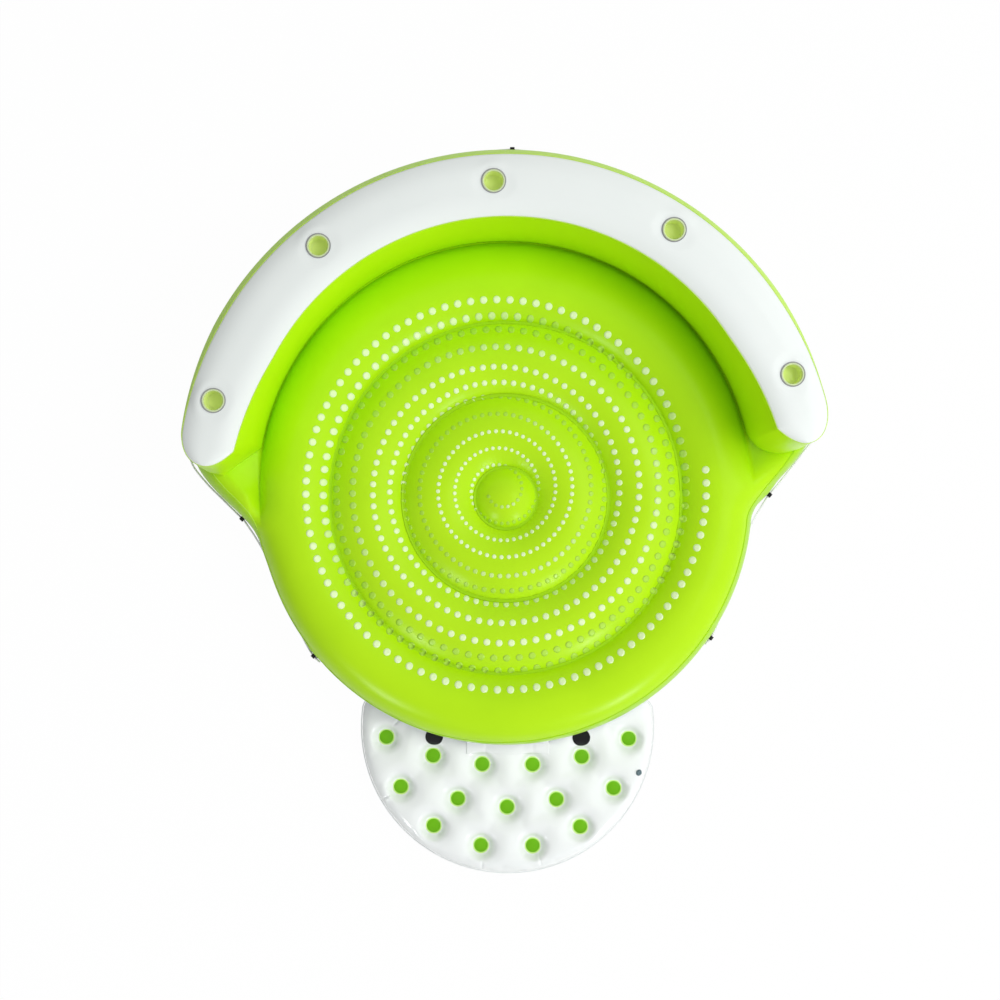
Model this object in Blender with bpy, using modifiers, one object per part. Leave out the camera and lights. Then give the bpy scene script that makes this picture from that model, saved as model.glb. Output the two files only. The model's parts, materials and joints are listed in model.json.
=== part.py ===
import math

import bmesh
import bpy
from mathutils import Matrix, Vector, geometry
from mathutils.bvhtree import BVHTree

# Lengths are metres and angles degrees. The raft rests on z = 0, +Y points to the backrest.
GAP = 0.0003
SHEET = 0.003
AZIMUTHS = 40

# Float: a ring-shaped hull round a floor of three cushions, wider under the backrest.
CREASE_INNER = 0.130
RING_WIDTH_INNER = 0.307
RING_WIDTH = 0.310
CREASE_MIDDLE = CREASE_INNER + RING_WIDTH_INNER
CREASE_OUTER = CREASE_MIDDLE + RING_WIDTH
HULL_RADIUS = CREASE_OUTER + RING_WIDTH
CREST_RADIUS = CREASE_OUTER + 0.48 * RING_WIDTH
CREASE_FRONT = HULL_RADIUS - 0.009
CREASE_BACK = HULL_RADIUS - 0.015
CREASE_CENTRE_Y = 0.043
EQUATOR_Z = 0.19
CREST_Z = 0.36
CREASE_Z = 0.285
FLOOR_CREST_Z = 0.350
TUBE_POWER = 2.2
BOTTOM_GROOVE = 0.035
BILGE = ((0.0185, 0.10), (0.06, 0.035), (0.11, 0.0))
VENT_RADIUS = 0.02
SHOULDER_START = -7.8
SHOULDER_END = 12.2
FOLD_START = -10.0
FOLD_END = 4.0

# Backrest: its round ends stand on the hull's flat back.
BACK_CENTRE_Y = 0.07
BACKREST_INNER = CREASE_BACK + 0.009
BACKREST_WIDTH = 0.25
BACKREST_OUTER = BACKREST_INNER + BACKREST_WIDTH
BACK_HULL_RADIUS = BACKREST_OUTER + 0.044
SEAT_Z = 0.33
BACKREST_TOP_Z = 0.775
BACKREST_FLARE = 0.014
SEAT_STEP = 0.018
OUTER_BULGE = 0.046
INNER_BULGE = 0.018
BACKREST_END = 11.84
END_REACH = 1.5
PANEL_CROWN = 0.0247
ARC_STEPS = 34
END_STEPS = 4
PANEL_SPLITS = (13, 21)

# Cup holders
CUP_RADIUS = 0.0405
CUP_DEPTH = 0.09
CUP_WALL = 0.0015
CUP_ARC_RADIUS = BACKREST_OUTER - 0.0845
CUP_PITCH = 35.5
CUP_TAPER = 0.0035
RING_RADIUS = 0.051
RING_LIP = 0.0035
RING_THICKNESS = 0.0015

# Boarding pad, drawn straight ahead of the hull, then moved aside and turned with its hinge.
PAD_SKEW = -3.0
PAD_ASIDE = 0.019
PAD_RADIUS = 0.639
PAD_CENTRE_Y = 0.057 - HULL_RADIUS
PAD_INNER_RADIUS = HULL_RADIUS - 0.025
PAD_FILLET = 0.06
PAD_MID_Z = 0.056
PAD_CREST_Z = 0.112
PAD_EDGE = 0.054
SPOT_Z = 0.066
SPOT_RADIUS = 0.0295
SPOT_FLAT = 0.0325
SPOT_RING = 0.072
SPOT_ROWS = ((0.141, (26.8, 16.06)), (0.136, (5.4,)), (0.314, (20.2,)), (0.2995, (9.3,)), (0.3165, ()),
             (0.436, (12.6,)), (0.489, (4.26,)))
FILL_STEP = 0.105
FILL_MARGIN = 0.0032
BADGE_RADIUS = 0.037
BADGE_REACH = PAD_INNER_RADIUS + PAD_EDGE + 0.006
BADGE_ANGLE = 17.1
HINGE_Y = -HULL_RADIUS - 0.005
FLAP_THICKNESS = 0.0015
HINGE_Z = PAD_CREST_Z + GAP + FLAP_THICKNESS
FLAP_HALF = 0.18
FLAP_WIDTH = 0.05
DISC_THICKNESS = 0.0015

# Grab rope and its guides
ROPE_RADIUS = 0.004
GUIDE_RADIUS = 0.027
GUIDE_BASE = 0.0025
GUIDE_BLOCK = (0.014, 0.017)
GUIDE_HOLE_Z = 0.011
HULL_GUIDE_Z = 0.194
BACK_GUIDE_Z = 0.43
TOP_GUIDE_Z = 0.55
ROPE_SAG = 0.035
ROPE_CLEAR = 0.0095
ROPE_SPAN_POINTS = 7
ROPE_TAIL = 0.029
KNOT_RADIUS = 0.0078
KNOT_HALF = 0.007

# Air valves: their bores, their ratios to the bore and where they sit
VALVE_BORE = 0.018
PAD_VALVE_BORE = 0.0074
VALVE_NECK = 1.33
VALVE_FLANGE = 1.9
VALVE_STEM = 1.14
VALVE_DEPTH = 0.009
HULL_VALVE_PLACE = (130.5, 0.232)
BACK_VALVE_PLACE = (44.0, 0.4525)
PAD_VALVE_PLACE = (0.571, -1.190)

LIME = ((0.44, 0.82, 0.012), 0.35)
WHITE = ((0.86, 0.88, 0.88), 0.35)
WELD_LIME = ((0.20, 0.58, 0.003), 0.4)
GREY = ((0.42, 0.43, 0.42), 0.5)
WELL = ((0.40, 0.55, 0.10), 0.3)
BLACK = ((0.012, 0.012, 0.013), 0.45)
TEAL = ((0.15, 0.22, 0.23), 0.3)
CORD_WHITE = ((0.75, 0.76, 0.74), 0.8)

for old in list(bpy.data.objects):
    bpy.data.objects.remove(old)

raft = bpy.data.collections.new("inflatable_raft")
bpy.context.scene.collection.children.link(raft)
cutters = bpy.data.collections.new("cutters")
bpy.context.scene.collection.children.link(cutters)


def polar(radius, degrees, z=0.0, centre_y=0.0):
    angle = math.radians(degrees)
    return Vector((radius * math.cos(angle), centre_y + radius * math.sin(angle), z))


def smooth_step(low, high, value):
    t = min(max((value - low) / (high - low), 0.0), 1.0)
    return t * t * (3.0 - 2.0 * t)


def mix(a, b, t):
    return a + (b - a) * t


def add_piece(name, data, finish):
    obj = bpy.data.objects.new(name, data)
    raft.objects.link(obj)
    colour, roughness = finish
    paint = bpy.data.materials.new(name)
    paint.use_nodes = True
    shader = paint.node_tree.nodes["Principled BSDF"]
    shader.inputs["Base Color"].default_value = (*colour, 1.0)
    shader.inputs["Roughness"].default_value = roughness
    shader.inputs["Metallic"].default_value = 0.0
    data.materials.append(paint)
    return obj


def finish_mesh(name, bm, finish):
    data = bpy.data.meshes.new(name)
    bm.to_mesh(data)
    bm.free()
    data.shade_smooth()
    return add_piece(name, data, finish)


def add_cutter(name, bm):
    data = bpy.data.meshes.new(name)
    bm.to_mesh(data)
    bm.free()
    obj = bpy.data.objects.new(name, data)
    cutters.objects.link(obj)
    obj.hide_render = True
    obj.display_type = "WIRE"
    return obj


def add_cylinder(bm, radius, depth, matrix, segments):
    bmesh.ops.create_cone(bm, cap_ends=True, segments=segments, radius1=radius, radius2=radius,
                          depth=depth, matrix=matrix)


def add_boolean(obj, cutter, operation="DIFFERENCE"):
    modifier = obj.modifiers.new("cut", "BOOLEAN")
    modifier.operation = operation
    modifier.solver = "EXACT"
    modifier.object = cutter


def thicken(obj, thickness=SHEET, offset=-1.0):
    modifier = obj.modifiers.new("sheet", "SOLIDIFY")
    modifier.thickness = thickness
    modifier.offset = offset


# Rows run one after another and their points across; the faces look to the left of both.
def loft(name, rows, closed, finish):
    bm = bmesh.new()
    lines = [[bm.verts.new(point) for point in row] for row in rows]
    pairs = list(zip(lines, lines[1:]))
    if closed:
        pairs.append((lines[-1], lines[0]))
    for first, second in pairs:
        for j in range(len(first) - 1):
            bm.faces.new((first[j], first[j + 1], second[j + 1], second[j]))
    bmesh.ops.remove_doubles(bm, verts=bm.verts[:], dist=0.00001)
    return finish_mesh(name, bm, finish)


def turned(name, profile, steps, finish, ring=False):
    data = bpy.data.meshes.new(name)
    count = len(profile)
    edges = [(i, i + 1) for i in range(count - 1)]
    if ring:
        edges.append((count - 1, 0))
    data.from_pydata([(r, 0.0, z) for r, z in profile], edges, [])
    obj = add_piece(name, data, finish)
    screw = obj.modifiers.new("turn", "SCREW")
    screw.steps = steps
    screw.render_steps = steps
    screw.use_merge_vertices = True
    screw.merge_threshold = 0.00005
    screw.use_smooth_shade = True
    return obj


# One tree of triangles for rays, built from finished pieces in world space.
def surface_of(pieces):
    bpy.context.view_layer.update()
    graph = bpy.context.evaluated_depsgraph_get()
    points = []
    faces = []
    for obj in pieces:
        done = obj.evaluated_get(graph)
        mesh = done.to_mesh()
        start = len(points)
        points += [done.matrix_world @ v.co for v in mesh.vertices]
        faces += [[start + i for i in face.vertices] for face in mesh.polygons]
        done.to_mesh_clear()
    return BVHTree.FromPolygons(points, faces)


# Frame on a surface: local Z is the face's normal, the footprint stands clear of the surface.
def seat(tree, start, direction, radius):
    spot, normal, _, _ = tree.ray_cast(start, direction)
    along = Vector((0.0, 0.0, 1.0)).cross(normal)
    if along.length < 0.001:
        along = Vector((1.0, 0.0, 0.0))
    along.normalize()
    across = normal.cross(along)
    lift = 0.0
    for share in (0.5, 1.0):
        for k in range(16):
            turn = math.tau * k / 16
            rim = spot + share * radius * (math.cos(turn) * along + math.sin(turn) * across)
            hit = tree.ray_cast(rim + 0.03 * normal, -normal)[0]
            if hit is not None:
                lift = max(lift, (hit - spot).dot(normal))
    frame = Matrix((along, across, normal)).transposed().to_4x4()
    frame.translation = spot + (lift + GAP) * normal
    return frame


def seat_outside(tree, azimuth, z, radius):
    start = polar(2.2, azimuth, z)
    return seat(tree, start, -polar(1.0, azimuth), radius)


def place(obj, matrix, parent=None):
    if parent is not None:
        obj.parent = parent
        obj.matrix_parent_inverse = parent.matrix_world.inverted()
    obj.matrix_world = matrix


# Angle above the line through the hull's centre, the same on both sides.
def rise_of(azimuth):
    return math.degrees(math.asin(math.sin(math.radians(azimuth))))


# Distance from the hull's centre to a circle round a point further back.
def reach_from(radius, centre_y, degrees):
    angle = math.radians(degrees)
    return centre_y * math.sin(angle) + math.sqrt(radius ** 2 - (centre_y * math.cos(angle)) ** 2)


def hull_radius(azimuth):
    rise = rise_of(azimuth)
    share = smooth_step(SHOULDER_START, SHOULDER_END, rise)
    return mix(HULL_RADIUS, reach_from(BACK_HULL_RADIUS, BACK_CENTRE_Y, rise), share)


def back_share(azimuth):
    return smooth_step(FOLD_START, FOLD_END, rise_of(azimuth))


# Crease between the outermost floor ring and the backrest.
def crease_radius(azimuth):
    rise = rise_of(azimuth)
    return mix(CREASE_FRONT, reach_from(CREASE_BACK, CREASE_CENTRE_Y, rise), back_share(azimuth))


def hull_azimuths():
    step = 360.0 / AZIMUTHS
    values = [step * k for k in range(AZIMUTHS)]
    extra = [-0.5 * step, 0.5 * step, 1.5 * step]
    values += [value % 360.0 for value in extra]
    values += [(180.0 - value) % 360.0 for value in extra]
    return sorted(values)


def tube_quarter(centre, reach, low, high, degrees):
    power = 2.0 / TUBE_POWER
    angle = math.radians(degrees)
    r = centre + reach * math.cos(angle) ** power
    return r, low + (high - low) * math.sin(angle) ** power


# Where the outermost ring's curve reaches its outer crease.
def crease_angle():
    share = (CREASE_FRONT - CREST_RADIUS) / (HULL_RADIUS - CREST_RADIUS)
    return math.degrees(math.acos(share ** (0.5 * TUBE_POWER)))


def deck_profile(azimuth):
    inner = CREASE_OUTER + 0.5 * GAP
    points = []
    for degrees in (0.0, 28.0, 58.0, 89.9):
        points.append(tube_quarter(CREST_RADIUS, inner - CREST_RADIUS, CREASE_Z, CREST_Z, degrees))
    valley = crease_radius(azimuth)
    reach = valley + HULL_RADIUS - CREASE_FRONT - CREST_RADIUS
    for degrees in (65.0, 42.0, crease_angle()):
        points.append(tube_quarter(CREST_RADIUS, reach, EQUATOR_Z, CREST_Z, degrees))
    outer = hull_radius(azimuth)
    share = back_share(azimuth)
    crease = points[-1][1]
    front = (mix(crease, EQUATOR_Z, 0.1), mix(crease, EQUATOR_Z, 0.6), mix(crease, EQUATOR_Z, 0.7),
             mix(crease, EQUATOR_Z, 0.8), EQUATOR_Z)
    back = (SEAT_Z, SEAT_Z, SEAT_Z - 0.02, SEAT_Z - 0.06, EQUATOR_Z)
    for fraction, low, high in zip((0.04, 0.95, 0.985, 1.0, 1.0), front, back):
        points.append((mix(points[6][0], outer, fraction), mix(low, high, share)))
    return points


def bottom_profile(azimuth):
    outer = hull_radius(azimuth)
    points = [(outer, EQUATOR_Z - GAP), (outer, EQUATOR_Z - 0.025)]
    points += [(outer - inset, z) for inset, z in BILGE]
    for crease in (CREASE_OUTER, CREASE_MIDDLE):
        width = 0.8 * BOTTOM_GROOVE
        points += [(crease + width, 0.0), (crease, BOTTOM_GROOVE), (crease - width, 0.0)]
    points.append((0.0, 0.0))
    return points


def hull_sheet(name, profile_at, finish):
    rows = []
    for azimuth in hull_azimuths():
        rows.append([polar(r, azimuth, z) for r, z in profile_at(azimuth)])
    obj = loft(name, rows, True, finish)
    thicken(obj)
    return obj


def cushion_profile(inner, outer):
    middle = 0.5 * (inner + outer)
    points = []
    for degrees in (0.0, 27.0, 57.0, 89.9):
        points.append(tube_quarter(middle, inner - middle, CREASE_Z, FLOOR_CREST_Z, degrees))
    for degrees in (57.0, 27.0, 0.0):
        points.append(tube_quarter(middle, outer - middle, CREASE_Z, FLOOR_CREST_Z, degrees))
    return points


def floor_cushion(name, inner, outer):
    half = 0.5 * GAP
    obj = turned(name, cushion_profile(inner + half, outer - half), AZIMUTHS, LIME)
    thicken(obj)
    return obj


def floor_dome():
    radius = CREASE_INNER - 0.5 * GAP
    points = [(0.0, FLOOR_CREST_Z)]
    for degrees in (70.0, 45.0, 20.0, 0.0):
        points.append(tube_quarter(0.0, radius, CREASE_Z, FLOOR_CREST_Z, degrees))
    obj = turned("floor_dome", points, AZIMUTHS, LIME)
    thicken(obj)
    return obj


# Upright ring wall between the sheets; its vents let the cushions share their air.
def floor_beam(name, radius, low, steps):
    half = 0.5 * SHEET
    high = CREASE_Z - 0.75 * SHEET - GAP
    profile = [(radius + half, high), (radius + half, low), (radius - half, low)]
    profile.append((radius - half, high))
    obj = turned(name, profile, steps, WHITE, ring=True)
    cut_vents(obj, radius, 0.5 * (low + high), (45.0, 135.0, 225.0, 315.0))
    return obj


def cut_vents(obj, radius, z, azimuths):
    bm = bmesh.new()
    for azimuth in azimuths:
        turn = Matrix.Rotation(math.radians(azimuth), 4, "Z")
        lie = Matrix.Rotation(math.radians(90.0), 4, "Y")
        matrix = Matrix.Translation(polar(radius, azimuth, z)) @ turn @ lie
        add_cylinder(bm, VENT_RADIUS, 3.0 * VENT_RADIUS, matrix, 8)
    add_boolean(obj, add_cutter(obj.name + "_vents", bm))


# Radius of the backrest's inner face, measured from the centre of its outer face.
def inner_reach(level, degrees):
    shift = (BACK_CENTRE_Y - CREASE_CENTRE_Y) * (1.0 - level)
    radius = mix(CREASE_BACK + SEAT_STEP, BACKREST_INNER, level)
    radius -= INNER_BULGE * math.sin(math.pi * level)
    return reach_from(radius, -shift, degrees)


def outer_reach(level):
    return BACKREST_OUTER + BACKREST_FLARE * (1.0 - level) + OUTER_BULGE * math.sin(math.pi * level)


def end_angle(level):
    return BACKREST_END - END_REACH * (1.0 - level)


# Point across the backrest at a station: 0 to 1 along the arc, below 0 and over 1 in the ends.
def backrest_point(level, station, across):
    first = end_angle(level)
    inside = min(max(station, 0.0), 1.0)
    degrees = mix(first, 180.0 - first, inside)
    inner = inner_reach(level, degrees)
    outer = outer_reach(level)
    middle = 0.5 * (inner + outer)
    half = 0.5 * (outer - inner)
    bend = math.radians(90.0 * abs(station - inside))
    radial = polar(1.0, degrees)
    forward = polar(1.0, degrees - 90.0 if station < 0.5 else degrees + 90.0)
    offset = half * (across * math.cos(bend) * radial + math.sin(bend) * forward)
    return Vector((0.0, BACK_CENTRE_Y, 0.0)) + middle * radial + offset


def backrest_stations():
    ends = [k / END_STEPS for k in range(END_STEPS, 0, -1)]
    stations = [-share for share in ends]
    stations += [k / ARC_STEPS for k in range(ARC_STEPS + 1)]
    stations += [1.0 + share for share in reversed(ends)]
    return stations


def backrest_wall():
    stations = backrest_stations()
    around = [(station, 1.0) for station in stations]
    around += [(station, -1.0) for station in reversed(stations[1:-1])]
    rows = []
    for station, across in around:
        row = []
        for level in (1.0, 0.92, 0.7, 0.4, 0.15, 0.0):
            point = backrest_point(level, station, across)
            point.z = mix(SEAT_Z + GAP, BACKREST_TOP_Z, level)
            row.append(point)
        rows.append(row)
    obj = loft("backrest_wall", rows, True, LIME)
    thicken(obj)
    return obj


# Top sheet in three sections, welded end to end behind the second and the fourth cup.
def backrest_panels():
    half = 0.5 * GAP / (BACKREST_OUTER * math.radians(180.0 - 2.0 * BACKREST_END))
    low, high = [k / ARC_STEPS for k in PANEL_SPLITS]
    stations = backrest_stations()
    right = [s for s in stations if s < low - half] + [low - half]
    back = [low + half] + [s for s in stations if low + half < s < high - half] + [high - half]
    left = [high + half] + [s for s in stations if s > high + half]
    cups = cup_azimuths()
    panel_section("backrest_panel_right", right, cups[:2])
    panel_section("backrest_panel_back", back, cups[2:3])
    panel_section("backrest_panel_left", left, cups[3:])


def panel_section(name, stations, cups):
    base = BACKREST_TOP_Z + GAP + SHEET
    profile = ((-1.0, 0.0), (-0.62, 0.8), (-0.3, 1.0), (0.2, 1.0), (0.7, 1.0), (1.0, 0.0))
    rows = []
    for station in stations:
        beyond = abs(station - min(max(station, 0.0), 1.0))
        crown = PANEL_CROWN * math.cos(math.radians(90.0 * beyond)) ** 0.5
        row = []
        for across, share in profile:
            point = backrest_point(1.0, station, across)
            point.z = base + crown * share
            row.append(point)
        rows.append(row)
    obj = loft(name, rows, False, WHITE)
    thicken(obj)
    bm = bmesh.new()
    hole = CUP_RADIUS + CUP_WALL + 0.0015
    for azimuth in cups:
        add_cylinder(bm, hole, CUP_DEPTH, Matrix.Translation(cup_place(azimuth)), 16)
    add_boolean(obj, add_cutter(name + "_holes", bm))


def cup_azimuths():
    return [90.0 + CUP_PITCH * k for k in (-2, -1, 0, 1, 2)]


def cup_place(azimuth):
    z = BACKREST_TOP_Z + GAP + SHEET + PANEL_CROWN + GAP
    return polar(CUP_ARC_RADIUS, azimuth, z, CREASE_CENTRE_Y)


def cup_holder(number, azimuth):
    lip = RING_RADIUS - RING_LIP
    floor = CUP_RADIUS - CUP_TAPER
    top = CUP_WALL
    low = top - CUP_DEPTH
    well = [(0.0, low), (floor, low), (CUP_RADIUS, top), (lip, top), (lip, 0.0)]
    well += [(CUP_RADIUS + CUP_WALL, 0.0), (floor + CUP_WALL, low - CUP_WALL), (0.0, low - CUP_WALL)]
    obj = turned("cup_well_%d" % number, well, 16, WELL)
    place(obj, Matrix.Translation(cup_place(azimuth)))
    over = top + GAP
    skirt = lip + 2.0 * GAP
    high = over + RING_THICKNESS
    mouth = CUP_RADIUS + 0.0005
    ring = [(RING_RADIUS, high), (RING_RADIUS, 0.0), (skirt, 0.0), (skirt, over), (mouth, over), (mouth, high)]
    obj = turned("cup_ring_%d" % number, ring, 16, GREY, ring=True)
    place(obj, Matrix.Translation(cup_place(azimuth)))


def fillet_centre():
    near = PAD_INNER_RADIUS + PAD_FILLET
    far = PAD_RADIUS - PAD_FILLET
    y = (near ** 2 - far ** 2 + PAD_CENTRE_Y ** 2) / (2.0 * PAD_CENTRE_Y)
    return math.sqrt(near ** 2 - y ** 2), y


# Outline of the pad moved inwards, anticlockwise from its left corner.
def pad_loop(inset):
    x, y = fillet_centre()
    low = math.degrees(math.atan2(y - PAD_CENTRE_Y, x))
    high = math.degrees(math.atan2(-y, -x))
    corner = PAD_FILLET - inset
    points = []
    for k in range(26):
        degrees = mix(180.0 - low, 360.0 + low, k / 26)
        points.append(polar(PAD_RADIUS - inset, degrees, 0.0, PAD_CENTRE_Y))
    for k in range(4):
        points.append(polar(corner, mix(low, high, k / 4)) + Vector((x, y, 0.0)))
    for k in range(14):
        degrees = mix(high - 180.0, -high, k / 14)
        points.append(polar(PAD_INNER_RADIUS + inset, degrees))
    for k in range(4):
        points.append(polar(corner, mix(180.0 - high, 180.0 - low, k / 4)) + Vector((-x, y, 0.0)))
    return points


def spot_places():
    places = []
    for beyond, angles in SPOT_ROWS:
        turns = [sign * angle for angle in angles for sign in (-1.0, 1.0)] or [0.0]
        places += [polar(PAD_INNER_RADIUS + beyond, -90.0 + turn) for turn in turns]
    return sorted(places, key=lambda p: (-round(p.y, 2), p.x))


def spot_height(x, y, spots):
    nearest = min((spot.xy - Vector((x, y))).length for spot in spots)
    share = min(max((nearest - SPOT_FLAT) / (SPOT_RING - SPOT_FLAT), 0.0), 1.0)
    return mix(SPOT_Z, PAD_CREST_Z, share)


def is_inside(x, y, loop):
    inside = False
    for a, b in zip(loop, loop[1:] + loop[:1]):
        if (a.y > y) != (b.y > y) and x < a.x + (b.x - a.x) * (y - a.y) / (b.y - a.y):
            inside = not inside
    return inside


def pad_fill(spots):
    limit = pad_loop(PAD_EDGE + FILL_MARGIN)
    points = []
    for spot in spots:
        for radius in (SPOT_FLAT, SPOT_RING):
            for k in range(8):
                points.append(spot + polar(radius, 22.5 + 45.0 * k))
    for row in range(16):
        for column in range(-8, 9):
            x = FILL_STEP * (column + 0.5 * (row % 2))
            y = PAD_CENTRE_Y - 0.866 * FILL_STEP * (row - 2)
            if min((spot.xy - Vector((x, y))).length for spot in spots) > 1.45 * SPOT_RING:
                points.append(Vector((x, y, 0.0)))
    return [p for p in points if is_inside(p.x, p.y, limit)]


def pad_rim_height(inset, flat):
    share = 1.0 - min(inset / PAD_EDGE, 1.0)
    return mix(PAD_MID_Z, flat, math.sqrt(1.0 - share ** 2))


def cover(bm, loop, extra, height):
    flat = [p.xy for p in loop + extra]
    made = geometry.delaunay_2d_cdt(flat, [], [list(range(len(loop)))], 1, 0.00001)
    points = [bm.verts.new((p.x, p.y, height(p.x, p.y))) for p in made[0]]
    for face in made[2]:
        bm.faces.new([points[i] for i in face])


def boarding_pad(hinge):
    spots = spot_places()
    bm = bmesh.new()
    insets = ((PAD_EDGE, 1), (0.3 * PAD_EDGE, 1), (0.0, 0), (0.3 * PAD_EDGE, -1), (PAD_EDGE, -1))
    lines = []
    for inset, side in insets:
        line = []
        for p in pad_loop(inset):
            z = pad_rim_height(inset, PAD_CREST_Z if side > 0 else 0.0)
            if inset == PAD_EDGE and side > 0:
                z = spot_height(p.x, p.y, spots)
            line.append(bm.verts.new((p.x, p.y, z)))
        lines.append(line)
    count = len(lines[0])
    for upper, lower in zip(lines, lines[1:]):
        for k in range(count):
            after = (k + 1) % count
            bm.faces.new((upper[k], lower[k], lower[after], upper[after]))
    edge = pad_loop(PAD_EDGE)
    cover(bm, edge, pad_fill(spots), lambda x, y: spot_height(x, y, spots))
    cover(bm, edge, [], lambda x, y: 0.0)
    bmesh.ops.remove_doubles(bm, verts=bm.verts[:], dist=0.00001)
    bmesh.ops.recalc_face_normals(bm, faces=bm.faces[:])
    bmesh.ops.translate(bm, verts=bm.verts[:], vec=(0.0, -HINGE_Y, -HINGE_Z))
    obj = finish_mesh("boarding_pad", bm, WHITE)
    thicken(obj)
    place(obj, hinge.matrix_world.copy(), hinge)
    return obj


def plain_disc(name, radius, matrix, finish, segments, parent):
    bm = bmesh.new()
    middle = Matrix.Translation((0.0, 0.0, 0.5 * DISC_THICKNESS))
    add_cylinder(bm, radius, DISC_THICKNESS, middle, segments)
    obj = finish_mesh(name, bm, finish)
    place(obj, matrix, parent)


# From the pad as drawn to where it hangs
def pad_placing():
    return Matrix.Rotation(math.radians(PAD_SKEW), 4, "Z") @ Matrix.Translation((PAD_ASIDE, 0.0, 0.0))


def pad_discs(tree, hinge):
    turn = pad_placing()
    down = Vector((0.0, 0.0, -1.0))
    for number, spot in enumerate(spot_places(), 1):
        matrix = turn @ Matrix.Translation((spot.x, spot.y, SPOT_Z + GAP))
        plain_disc("pad_weld_disc_%02d" % number, SPOT_RADIUS, matrix, WELD_LIME, 12, hinge)
    for side, name in ((-1.0, "left"), (1.0, "right")):
        start = turn @ polar(BADGE_REACH, -90.0 + side * BADGE_ANGLE, 0.3)
        matrix = seat(tree, start, down, BADGE_RADIUS)
        plain_disc("pad_badge_disc_" + name, BADGE_RADIUS, matrix, BLACK, 16, hinge)


# Flap halves of the soft hinge: one on the pad's top, one up the hull's side.
def pad_hinge_flaps(tree, hinge):
    bm = bmesh.new()
    bmesh.ops.create_cube(bm, size=1.0)
    bmesh.ops.scale(bm, verts=bm.verts[:], vec=(2.0 * FLAP_HALF, FLAP_WIDTH, FLAP_THICKNESS))
    middle = (0.0, -0.0001 - 0.5 * FLAP_WIDTH, -0.5 * FLAP_THICKNESS)
    bmesh.ops.translate(bm, verts=bm.verts[:], vec=middle)
    obj = finish_mesh("pad_hinge_flap_pad", bm, WHITE)
    place(obj, hinge.matrix_world.copy(), hinge)
    spread = math.degrees(math.asin(FLAP_HALF / HULL_RADIUS))
    facing = -90.0 + PAD_SKEW
    middle = facing + math.degrees(math.asin(PAD_ASIDE / HULL_RADIUS))
    step = 360.0 / AZIMUTHS
    azimuths = [middle - spread]
    azimuths += [step * k for k in range(-AZIMUTHS, 0) if abs(step * k - middle) < spread - 0.5]
    azimuths.append(middle + spread)
    rows = []
    for azimuth in azimuths:
        start = polar(1.6, azimuth, EQUATOR_Z - 0.02)
        hit = tree.ray_cast(start, -polar(1.0, azimuth))[0]
        top = hit + polar(2.0 * GAP, azimuth)
        reach = (-HINGE_Y - FLAP_THICKNESS - GAP) / math.cos(math.radians(azimuth - facing))
        rows.append([top, polar(reach, azimuth, HINGE_Z - 0.001)])
    obj = loft("pad_hinge_flap_hull", rows, False, WHITE)
    thicken(obj, FLAP_THICKNESS, 1.0)


# Screw valve on a sheet with a flip cap; all its sizes follow the bore.
def air_valve(name, tree, sheet, start, direction, bore, parent=None):
    neck = bore * VALVE_NECK
    flange = bore * VALVE_FLANGE
    stem = bore * VALVE_STEM
    rim = 0.0012 + 0.04 * bore
    top = rim + 0.3 * bore
    frame = seat(tree, start, direction, flange)
    profile = [(neck, top), (neck, rim), (flange, rim), (flange, 0.0), (stem, 0.0)]
    profile += [(stem, -VALVE_DEPTH), (bore, -VALVE_DEPTH), (bore, top)]
    obj = turned(name + "_base", profile, 16, TEAL, ring=True)
    place(obj, frame, parent)
    bm = bmesh.new()
    add_cylinder(bm, stem + 0.0012, 0.014, frame, 16)
    add_boolean(sheet, add_cutter(name + "_hole", bm))
    thick = 0.002 + 0.06 * bore
    pin = neck + 0.003
    plug = bore * 0.94 - 0.0001
    cap = [(0.0, thick), (neck, thick), (neck, GAP), (plug, GAP), (plug, -0.003), (0.0, -0.003)]
    bm = bmesh.new()
    points = [bm.verts.new((r, -pin, z)) for r, z in cap]
    edges = [bm.edges.new(pair) for pair in zip(points, points[1:])]
    bmesh.ops.spin(bm, geom=points + edges, cent=(0.0, -pin, 0.0), axis=(0.0, 0.0, 1.0),
                   angle=math.tau, steps=16, use_merge=True)
    bmesh.ops.remove_doubles(bm, verts=bm.verts[:], dist=0.00001)
    bmesh.ops.recalc_face_normals(bm, faces=bm.faces[:])
    obj = finish_mesh(name + "_cap", bm, TEAL)
    at_pin = frame @ Matrix.Translation((0.0, pin, top))
    place(obj, at_pin, parent)
    bm = bmesh.new()
    bmesh.ops.create_cube(bm, size=1.0)
    length = 0.3 * bore + 0.004
    bmesh.ops.scale(bm, verts=bm.verts[:], vec=(0.5 * bore, length, thick - GAP))
    bmesh.ops.translate(bm, verts=bm.verts[:], vec=(0.0, 0.001 - 0.5 * length, 0.5 * (thick + GAP)))
    tab = add_cutter(name + "_tab", bm)
    tab.matrix_world = at_pin
    add_boolean(obj, tab, "UNION")


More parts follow.
